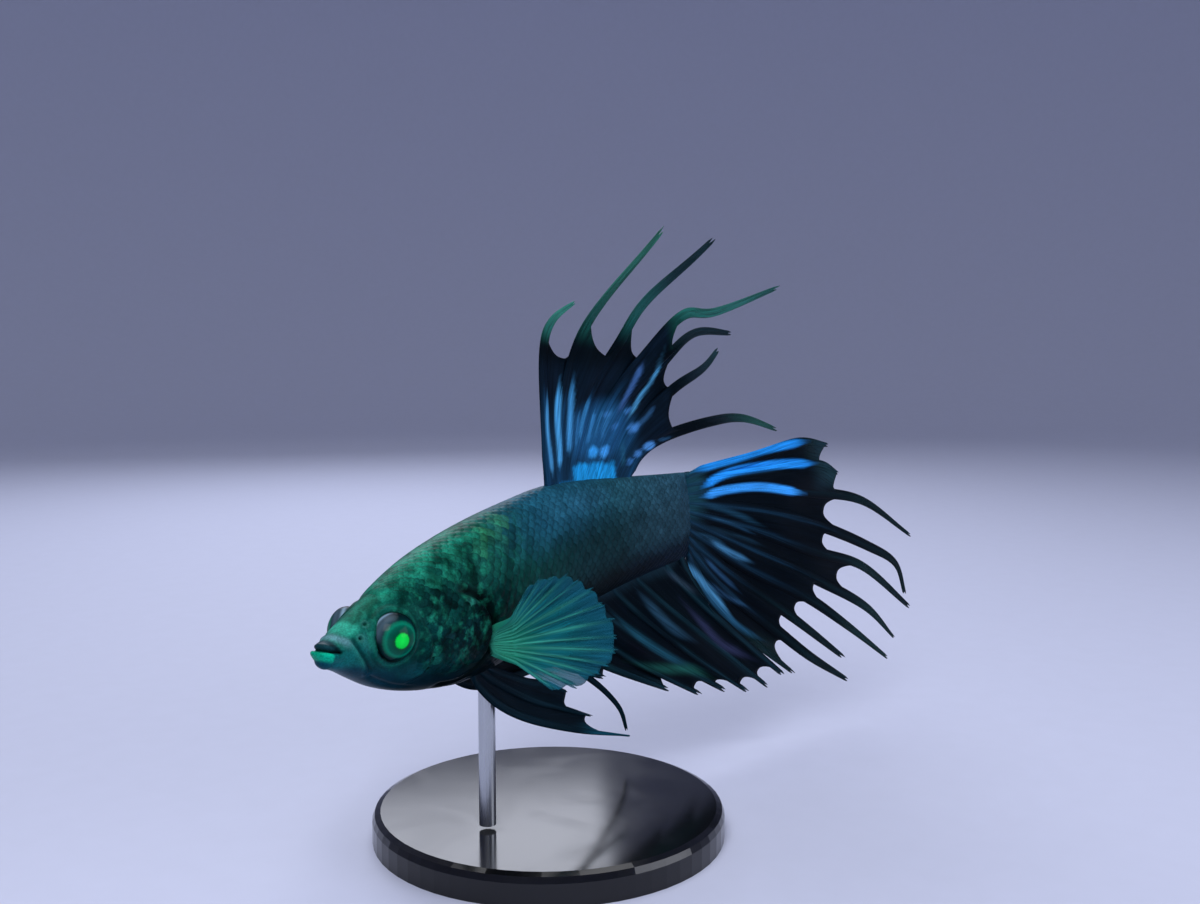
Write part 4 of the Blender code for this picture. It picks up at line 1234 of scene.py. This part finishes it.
def ray_tree():
    """Turns lines with a radius into round fin rays with closed ends."""
    tree, group = new_tree("grow_rays", [("Sides", 'NodeSocketInt'), ("Material", 'NodeSocketMaterial')])
    radius = add(tree, 'GeometryNodeInputNamedAttribute', {"Name": "radius"}, data_type='FLOAT')
    curves = add(tree, 'GeometryNodeMeshToCurve', {"Mesh": group.outputs["Geometry"]})
    sized = add(tree, 'GeometryNodeSetCurveRadius', {"Curve": curves.outputs[0],
                                                     "Radius": radius.outputs["Attribute"]})
    ring = add(tree, 'GeometryNodeCurvePrimitiveCircle', {"Resolution": group.outputs["Sides"],
                                                          "Radius": 1.0})
    tubes = add(tree, 'GeometryNodeCurveToMesh', {
        "Curve": sized.outputs[0], "Profile Curve": ring.outputs[0],
        "Scale": radius.outputs["Attribute"], "Fill Caps": True})
    smooth = add(tree, 'GeometryNodeSetShadeSmooth', {"Geometry": tubes.outputs[0]})
    real = add(tree, 'GeometryNodeRealizeInstances', {"Geometry": smooth.outputs[0]})
    painted = add(tree, 'GeometryNodeSetMaterial', {"Geometry": real.outputs[0],
                                                    "Material": group.outputs["Material"]})
    add(tree, 'NodeGroupOutput', {"Geometry": painted.outputs[0]})
    return tree


def finish_fin(node, fin, membrane, bone, tree):
    """The fin's webs and its rays as two pieces in place of its node."""
    webs = make_object(f"{node}_web", fin.webs.mesh(f"{node}_web"), membrane)
    lines = make_object(f"{node}_lines", fin.bones.mesh(f"{node}_lines"))
    rays = baked(lines, f"{node}_rays", tree, {"Sides": BONE_SIDES, "Material": bone}, bone)
    for piece in (webs, rays):
        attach(piece, "root")
        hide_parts(node)


# ------------------------------------------------------------------ markings of the fins


def brushed(colour, s, h, strokes, soft, fade):
    """Colours with soft strokes painted over them: points, half width, strength, colour. soft is how
    much of the half width fades out, and fade the share of the length that does so at each end."""
    for points, half, strength, tint in strokes:
        away, share = line_distance(s, h, points)
        ends = faded(share, fade, fade)
        thin = half * (0.4 + 0.6 * ends)
        edge = smooth_step((1.4 * thin - np.abs(away)) / (soft * thin))
        colour = mixed(colour, tint, strength * edge * (0.1 + 0.9 * ends))
    return colour


# strokes of colour along the rays: points in (s, h), half width, strength, colour
DORSAL_STROKES = [
    ([(62.2, 14), (62.0, 18), (61.8, 23), (62.8, 29.5)], 0.55, 0.9, "#4fa0d4"),
    ([(64.3, 15), (64.5, 18), (64.9, 24), (66.9, 31)], 0.65, 0.9, "#4ca2d8"),
    ([(67.0, 17), (67.2, 20), (68.0, 24), (69.9, 31)], 0.7, 0.85, "#469ad2"),
    ([(68.8, 18), (69.3, 21), (70.6, 25)], 0.3, 0.5, "#3a84b8"),
    ([(70.0, 19), (70.6, 21.5), (71.8, 23.8), (73.8, 27)], 0.55, 0.7, "#3c8cc2"),
    ([(71.8, 18), (73.2, 21), (74.8, 24)], 0.5, 0.65, "#3884ba"),
    ([(73.6, 18.5), (75.2, 21.6), (76.6, 24)], 0.3, 0.5, "#3478a8"),
    ([(75.2, 18), (77.0, 21.5), (79.0, 24)], 0.5, 0.55, "#3376a8"),
    ([(79.7, 22.5), (82.0, 25), (84.6, 28.5), (86.8, 31.5)], 0.55, 0.65, "#4068a0"),
    ([(82.6, 21), (86.0, 25), (88.9, 27.7), (91.5, 33.5)], 0.62, 0.95, "#54a4d0"),
    ([(83.8, 19.2), (87.1, 21), (89.2, 22.8)], 0.5, 0.6, "#35648e"),
    ([(80.6, 12.5), (80.8, 17.5)], 0.5, 0.45, "#2a6a86"),
]
DORSAL_PATCH = (67.2, 78.6)             # s from where to where the azure scales reach up the fin
DORSAL_SHEEN = (75.5, 20.0, 8.0, 5.2, 0.6, "#235f8e")    # soft spot under the strokes
DORSAL_SPOTS = [
    (83.8, 19.4, 1.2, 0.8, 0.85, "#4a8cd0"),
    (82.6, 22.8, 0.9, 0.5, 0.6, "#4486c4"),
    (77.3, 22.8, 0.9, 0.5, 0.5, "#4486c4"),
    (79.0, 20.4, 0.9, 0.5, 0.5, "#3f80c0"),
    (87.3, 15.5, 1.5, 0.8, 0.85, "#4f90d0"),
    (84.4, 14.5, 1.0, 0.7, 0.8, "#4a8acb"),
    (82.4, 13.4, 0.8, 0.6, 0.6, "#4080c0"),
    (91.5, 16.2, 1.6, 0.35, 0.5, "#35658c"),
    (73.2, 16.6, 1.15, 1.0, 0.95, "#3aa4ee"),
    (76.1, 16.2, 1.15, 1.0, 0.9, "#44a0ea"),
]
# colours of each free ray, near the web and at its tip
DORSAL_FREE = [("#2a7c6c", "#46a48c"), ("#1f6256", "#35806c"), ("#236a62", "#0d2a30"),
               ("#2f8878", "#2c6e64"), ("#0c2024", "#102a2e"), ("#0c1e26", "#1a3438"),
               ("#08141a", "#205048")]
CAUDAL_STROKES = [
    ([(99.0, 2.4), (108.0, -1.0), (118.0, -6.2)], 0.7, 0.5, "#22506a"),
    ([(99.0, 0.2), (108.0, -3.4), (116.5, -8.0)], 0.35, 0.45, "#2a5878"),
    ([(99.0, -1.8), (110.0, -6.4), (118.5, -10.6)], 0.5, 0.35, "#24485e"),
    ([(97.5, -3.2), (103.0, -5.4), (108.0, -8.4)], 0.4, 0.5, "#26506a"),
    ([(101.6, -5.2), (107.9, -9.4), (114.4, -13.0)], 0.7, 0.8, "#4480a8"),
    ([(100.2, -8.4), (105.0, -13.3), (111.2, -19.0)], 0.55, 0.6, "#305a80"),
    ([(92.0, -6.6), (97.9, -11.7), (103.9, -17.9), (109.5, -24.6)], 1.05, 0.88, "#4888b0"),
    ([(98.6, -13.4), (104.5, -20.2), (111.5, -26.6), (119.5, -31.8)], 0.7, 0.75, "#2c6688"),
    ([(96.6, -12.6), (101.6, -19.6), (107.0, -25.8), (113.0, -30.4)], 0.35, 0.5, "#2a5a78"),
    ([(100.7, -13.2), (107.3, -18.8), (114.0, -22.6)], 0.5, 0.5, "#345f84"),
]
CAUDAL_AZURE_STROKES = [
    ([(97.6, 8.8), (110.0, 9.6), (119.4, 10.2), (132.5, 9.7)], 0.85, 0.95, "#2290e6"),
    ([(100.4, 5.0), (108.3, 6.9), (120.3, 6.6), (135.0, 4.5)], 0.85, 0.97, "#289cfa"),
    ([(100.6, 3.2), (108.2, 3.5), (117.3, 2.5), (130.0, -1.2)], 0.85, 0.97, "#3fa8ff"),
]
ANAL_STROKES = [
    ([(80.0, -13.0), (87.0, -20.3), (94.2, -27.5)], 0.9, 0.8, "#02040a"),
    ([(76.8, -19.6), (83.8, -24.8)], 0.9, 0.7, "#05040c"),
    ([(89.4, -8.6), (94.3, -12.6), (98.8, -16.6)], 0.7, 0.5, "#384a5a"),
    ([(93.4, -15.4), (98.0, -21.6), (103.0, -27.0), (108.2, -30.4), (114.0, -33.8)], 1.0, 0.6,
     "#3a4064"),
    ([(82.0, -10.5), (86.4, -16.4), (90.3, -21.0), (96.0, -25.0)], 1.0, 0.65, "#2b4f66"),
    ([(74.6, -12.6), (80.2, -18.8), (84.8, -23.0), (90.6, -27.2), (98.0, -31.2)], 0.9, 0.65, "#20566a"),
    ([(77.6, -24.0), (86.2, -27.7), (95.0, -30.4), (102.0, -34.6)], 1.1, 0.75, "#1b544a"),
    ([(62.0, -18.0), (70.0, -22.0), (78.0, -27.0)], 0.8, 0.4, "#123a3c"),
]


def paint_dorsal(across, off, share, s, h):
    """Azure patch at the base, blue strokes up the rays, black web, thin green-black free tips."""
    colour = mixed(shade_of("#081420", s), "#14344c", 0.7 * smooth_step((0.3 - share) / 0.2))
    colour = mixed(colour, "#1d5680", 0.35 * bell(off / 0.5) * smooth_step((0.34 - share) / 0.1))
    colour = spotted(colour, s, h, [DORSAL_SHEEN])
    colour = brushed(colour, s, h, DORSAL_STROKES, soft=1.0, fade=0.2)
    colour = spotted(colour, s, h, DORSAL_SPOTS)

    over_back = h - section(s)[0]
    start, end = DORSAL_PATCH
    patch = smooth_step((s - start) / 0.8) * smooth_step((end - s) / 0.8)
    patch *= smooth_step((2.9 - over_back) / 0.5)
    foot = smooth_step((s - 61.5) / 1.5) * smooth_step(79 - s)
    foot *= smooth_step((-0.6 - 0.25 * (s > 67) - over_back) / 0.4 + 1) * 0.8
    seams = 1 - 0.4 * bell((((s - start) / 1.8) % 1 - 0.5) / 0.1)
    colour = mixed(colour, "#1f98da", 0.95 * np.maximum(patch, foot) * seams)

    black = smooth_step((share - 0.36) / 0.12) * (1 - smooth_step((share - 0.62) / 0.1))
    lit = smooth_step((94 - s) / 2) * smooth_step((s - 86) / 2) * smooth_step((share - 0.4) / 0.05)
    colour = mixed(colour, "#020609", 0.9 * black * (1 - bell((off - 0.2) / 0.8) * lit))
    free = smooth_step((share - 0.5) / 0.2)
    nearest = np.rint(np.clip(across, 0, len(DORSAL_FREE) - 1)).astype(int)
    low, high = (np.array([linear(pair[k]) for pair in DORSAL_FREE])[nearest] for k in (0, 1))
    free_tint = mixed(low, high, smooth_step((share - 0.66) / 0.2))
    colour = mixed(colour, free_tint, 0.9 * free)
    clouds = 0.5 + 0.5 * np.sin(0.31 * s - 0.43 * h + 2.1 * across)
    colour = mixed(colour, "#081e22", 0.45 * free * clouds)
    return solid(colour, 1 - 0.2 * free)


def paint_caudal(across, off, share, s, h):
    """Azure strokes on the top three rays, slate-blue ones below, black web, green-black tips."""
    root_tint = mixed(shade_of("#18404a", s), "#0a1c26", smooth_step((2.5 - h) / 5))
    colour = mixed(shade_of("#03080e", s), root_tint, smooth_step((103.5 - s) / 5))
    colour = mixed(colour, "#16364c", 0.7 * bell(off / 0.4) * smooth_step((0.55 - share) / 0.35))
    colour = mixed(colour, "#0c2228", 0.6 * bell(off / 0.5) * smooth_step((share - 0.4) / 0.2))
    colour = brushed(colour, s, h, CAUDAL_STROKES, soft=1.4, fade=0.3)
    colour = brushed(colour, s, h, CAUDAL_AZURE_STROKES, soft=0.8, fade=0.14)
    free = smooth_step((share - 0.6) / 0.2)
    colour = mixed(colour, "#14302f", 0.6 * free * (0.6 + 0.4 * np.sin(0.27 * s + 0.2 * h + across)))
    top = smooth_step((s - 130) / 8) * smooth_step((h + 3) / 4)
    colour = mixed(colour, "#1c3640", 0.6 * top)
    return solid(colour, 1 - 0.08 * np.maximum(free, top))


def paint_anal(across, off, share, s, h):
    """Nearly black, with dull slate, teal and green strokes along the rays."""
    colour = mixed(shade_of("#03090f", s), "#18333e", 0.8 * smooth_step((0.12 - share) / 0.12))
    colour = mixed(colour, "#12303a", 0.65 * bell(off / 0.45))
    colour = brushed(colour, s, h, ANAL_STROKES, soft=1.4, fade=0.35)
    return solid(colour, 1 - 0.1 * smooth_step((share - 0.8) / 0.2))


def paint_pelvic(across, off, share, s, h):
    """Black-green blade with a teal streak along the tip of the leading ray."""
    colour = mixed(shade_of("#04121a", s), "#0e2a34", 0.6 * bell(off / 0.5))
    tip = smooth_step((share - 0.72) / 0.15) * (across < 0.5) * (s < 74)
    colour = mixed(colour, "#1c6478", 0.7 * bell(off / 0.5) * tip)
    return solid(colour)


def paint_pectoral(across, off, share, s, h):
    """Emerald at the root, teal outwards, with pale rays; the web thins to the rim."""
    colour = mixed(shade_of("#06694a", s), "#0e6066", smooth_step((share - 0.06) / 0.4))
    colour = mixed(colour, "#165c6e", smooth_step((share - 0.5) / 0.4))
    colour = mixed(colour, "#3f9f88", 0.66 * bell(off / 0.24) * smooth_step((1.1 - share) / 0.5))
    return solid(colour, 0.95 - 0.3 * smooth_step((share - 0.3) / 0.5))


# ------------------------------------------------------------------ building the fins


def median_sway(s, h):
    """w of the dorsal and caudal fins at (s, h): a slow wave that grows away from the body."""
    away = np.maximum(np.maximum(0.0, np.abs(h) - 12), s - 96.6)
    return 1.4 * smooth_step(away / 30) * np.sin(0.09 * s + 0.05 * h)


def anal_sway(s, h):
    """w of the anal fin at (s, h)."""
    return -ANAL_SHIFT * smooth_step((-h - 12) / 12) * smooth_step((s - 60) / 30)


def rooted(rays, column):
    """The rays with their roots set inside the back (column 0) or the belly (column 1)."""
    depth = -ROOT_DEPTH if column == 0 else ROOT_DEPTH
    return [[(s, float(section(np.array(float(s)))[column]) + depth)] + points for s, points in rays]


def caudal_rays():
    """The rays of the caudal fin with their roots in a row down the tail root."""
    first, last = CAUDAL_ROOTS
    step = (last - first) / (len(CAUDAL_RAYS) - 1)
    return [[(CAUDAL_ROOT_S, first + step * i)] + points for i, points in enumerate(CAUDAL_RAYS)]


def pelvic_fin(side, label):
    """One pelvic fin; side is -1 on the left and 1 on the right."""
    def sway(s, h):
        away = np.hypot(s - PELVIC_SPLAY_FROM[0], h - PELVIC_SPLAY_FROM[1])
        return side * (PELVIC_ROOT_W + PELVIC_SPLAY[label] * away)

    rays = [[(s, PELVIC_ROOT_H)] + points for s, points in PELVIC_RAYS[label]]
    return Fin(rays, PELVIC_NOTCHES[label], 1.6, sway, paint_pelvic, minor=1, ruffle=0.3, tip_width=0.35)


def pectoral_fan(label):
    """Rays and notches of one pectoral fin, fanned out from an upright root."""
    root_s, _, root_h = PECTORAL_ROOT
    angles, reaches = zip(*PECTORAL_FAN)
    rays = []
    for k in range(PECTORAL_RAY_COUNT):
        share = k / (PECTORAL_RAY_COUNT - 1)
        row = share * (len(PECTORAL_FAN) - 1)
        angle = math.radians(np.interp(row, range(len(angles)), angles))
        reach = float(np.interp(row, range(len(reaches)), reaches))
        reach *= 1 - (1 - PECTORAL_TOP[label]) * max(0.0, 1 - k / PECTORAL_TOP_RAYS)
        root = (root_s - PECTORAL_ROOT_DEPTH, root_h + PECTORAL_ROOT_HEIGHT * (0.5 - share))
        tip = (root_s + reach * math.cos(angle), root_h + reach * math.sin(angle))
        middle = tuple(r + 0.5 * (e - r) for r, e in zip(root, tip))
        rays.append([root, middle, tip])
    notches = [tuple(0.5 * (p + q) * 0.96 + 0.04 * r for p, q, r in zip(one[-1], two[-1], (root_s, root_h)))
               for one, two in zip(rays, rays[1:])]
    return rays, notches


def pectoral_fin(side, label):
    """One pectoral fin, spread off the body; side is -1 on the left and 1 on the right."""
    root_s, root_w, root_h = PECTORAL_ROOT

    def sway(s, h):
        away = np.hypot(s - root_s, h - root_h)
        past_root = np.maximum(0, np.abs(h - root_h) - PECTORAL_ROOT_HEIGHT / 2)
        from_root = np.hypot(s - root_s + PECTORAL_ROOT_DEPTH, past_root)
        sink = PECTORAL_SINK * smooth_step((2.6 - from_root) / 2.6)
        return side * (root_w + PECTORAL_FLARE[label] * away - sink)

    rays, notches = pectoral_fan(label)
    return Fin(rays, notches, 0.5, sway, paint_pectoral, minor=1, ruffle=0.25, bone=0.07, columns=9)


def build_fins():
    """All seven fins: dark webs on the middle and pelvic fins, thinner ones on the pectoral fins."""
    dark = fin_membrane("fin_membrane_dark")
    thin = fin_membrane("fin_membrane_thin", roughness=0.42)
    bone = bony_ray()
    tree = ray_tree()

    dorsal = Fin(rooted(DORSAL_RAYS, 0), DORSAL_NOTCHES, 2.4, median_sway, paint_dorsal)
    caudal = Fin(caudal_rays(), CAUDAL_NOTCHES, 2.6, median_sway, paint_caudal, columns=27)
    anal = Fin(rooted(ANAL_RAYS, 1), ANAL_NOTCHES, 1.8, anal_sway, paint_anal)
    finish_fin("dorsal_fin", dorsal, dark, bone, tree)
    finish_fin("caudal_fin", caudal, dark, bone, tree)
    finish_fin("anal_fin", anal, dark, bone, tree)
    for side, label in ((-1, "left"), (1, "right")):
        finish_fin(f"pelvic_fin_{label}", pelvic_fin(side, label), dark, bone, tree)
        finish_fin(f"pectoral_fin_{label}", pectoral_fin(side, label), thin, bone, tree)


# ------------------------------------------------------------------ stand, studio and camera


def finish_stand():
    """The stand's plate and rod keep the frame's meshes and get their finishes."""
    for node, material in (("stand_base", polished_acrylic()), ("stand_rod", drawn_steel())):
        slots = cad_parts[node].data.materials
        if not slots:
            slots.append(material)
        for k in range(len(slots)):
            slots[k] = material


def build_studio():
    """Pale paper floor that curves up into a wall all round."""
    middle, floor, bend, wall = 0.02, 0.34, 0.2, 0.9
    profile = [(middle, 0.0), (floor, 0.0)]
    for angle in np.linspace(0, math.pi / 2, 13)[1:]:
        profile.append((floor + bend * math.sin(angle), bend - bend * math.cos(angle)))
    profile.append((floor + bend, wall))
    columns = 72
    turns = np.arange(columns) * 2 * math.pi / columns
    points = [(r * math.cos(a), r * math.sin(a), z) for r, z in profile for a in turns]
    quads = grid_quads(len(profile), columns, closed=True)
    faces = [tuple(range(columns))] + quads[:, ::-1].tolist()
    paper = make_object("studio_paper", make_mesh("studio_paper", points, faces),
                        studio_paper("studio_paper_pale", "#c9cde2"))


def add_lamp(name, location, target, size, power, code):
    """Soft rectangular lamp at a place, turned towards a target."""
    light = bpy.data.lights.new(name, 'AREA')
    light.shape = 'RECTANGLE'
    light.size, light.size_y = size
    light.energy = power
    light.color = linear(code)
    lamp = bpy.data.objects.new(name, light)
    bpy.context.scene.collection.objects.link(lamp)
    lamp.location = location
    lamp.rotation_euler = (Vector(target) - Vector(location)).to_track_quat('-Z', 'Y').to_euler()


def light_studio():
    """Four soft lamps round the middle of the fish, in a dim, faintly blue room."""
    centre = (-0.004, 0.0, 0.018)
    add_lamp("key", (-0.16, -0.10, 0.20), centre, (0.14, 0.14), 0.42, "#f8faff")
    add_lamp("fill", (0.10, -0.22, 0.08), centre, (0.18, 0.12), 0.2, "#eef2ff")
    add_lamp("top", (0.02, 0.03, 0.30), centre, (0.25, 0.25), 0.4, "#f9faff")
    add_lamp("back", (0.12, 0.16, 0.14), centre, (0.12, 0.12), 0.16, "#eef2ff")
    world = bpy.data.worlds.new("studio_air")
    world.use_nodes = True
    sky = world.node_tree.nodes["Background"]
    sky.inputs["Color"].default_value = rgba("#b4bcd8")
    sky.inputs["Strength"].default_value = 0.24
    bpy.context.scene.world = world


CAMERA_DOWN = math.radians(5.86)        # how far the view points down
CAMERA_TURN = math.radians(-50.58)      # and its turn about the vertical, from straight along +y


def add_camera():
    """Camera close to the fish, ahead of its left side and a little above it."""
    camera = bpy.data.objects.new("camera", bpy.data.cameras.new("camera"))
    bpy.context.scene.collection.objects.link(camera)
    camera.data.lens = 39
    camera.data.sensor_width = 36
    camera.data.clip_start = 0.005
    camera.location = (-0.06989, -0.06233, 0.03792)
    camera.rotation_euler = (math.pi / 2 - CAMERA_DOWN, 0, CAMERA_TURN)
    bpy.context.scene.camera = camera


add_camera()
build_studio()
light_studio()
bpy.context.scene.view_settings.view_transform = 'Standard'

skin = build_skin()
cornea = wet_eye()
build_eye(-1, "left", cornea)
build_eye(1, "right", cornea)
build_scales(skin)
build_fins()
finish_stand()
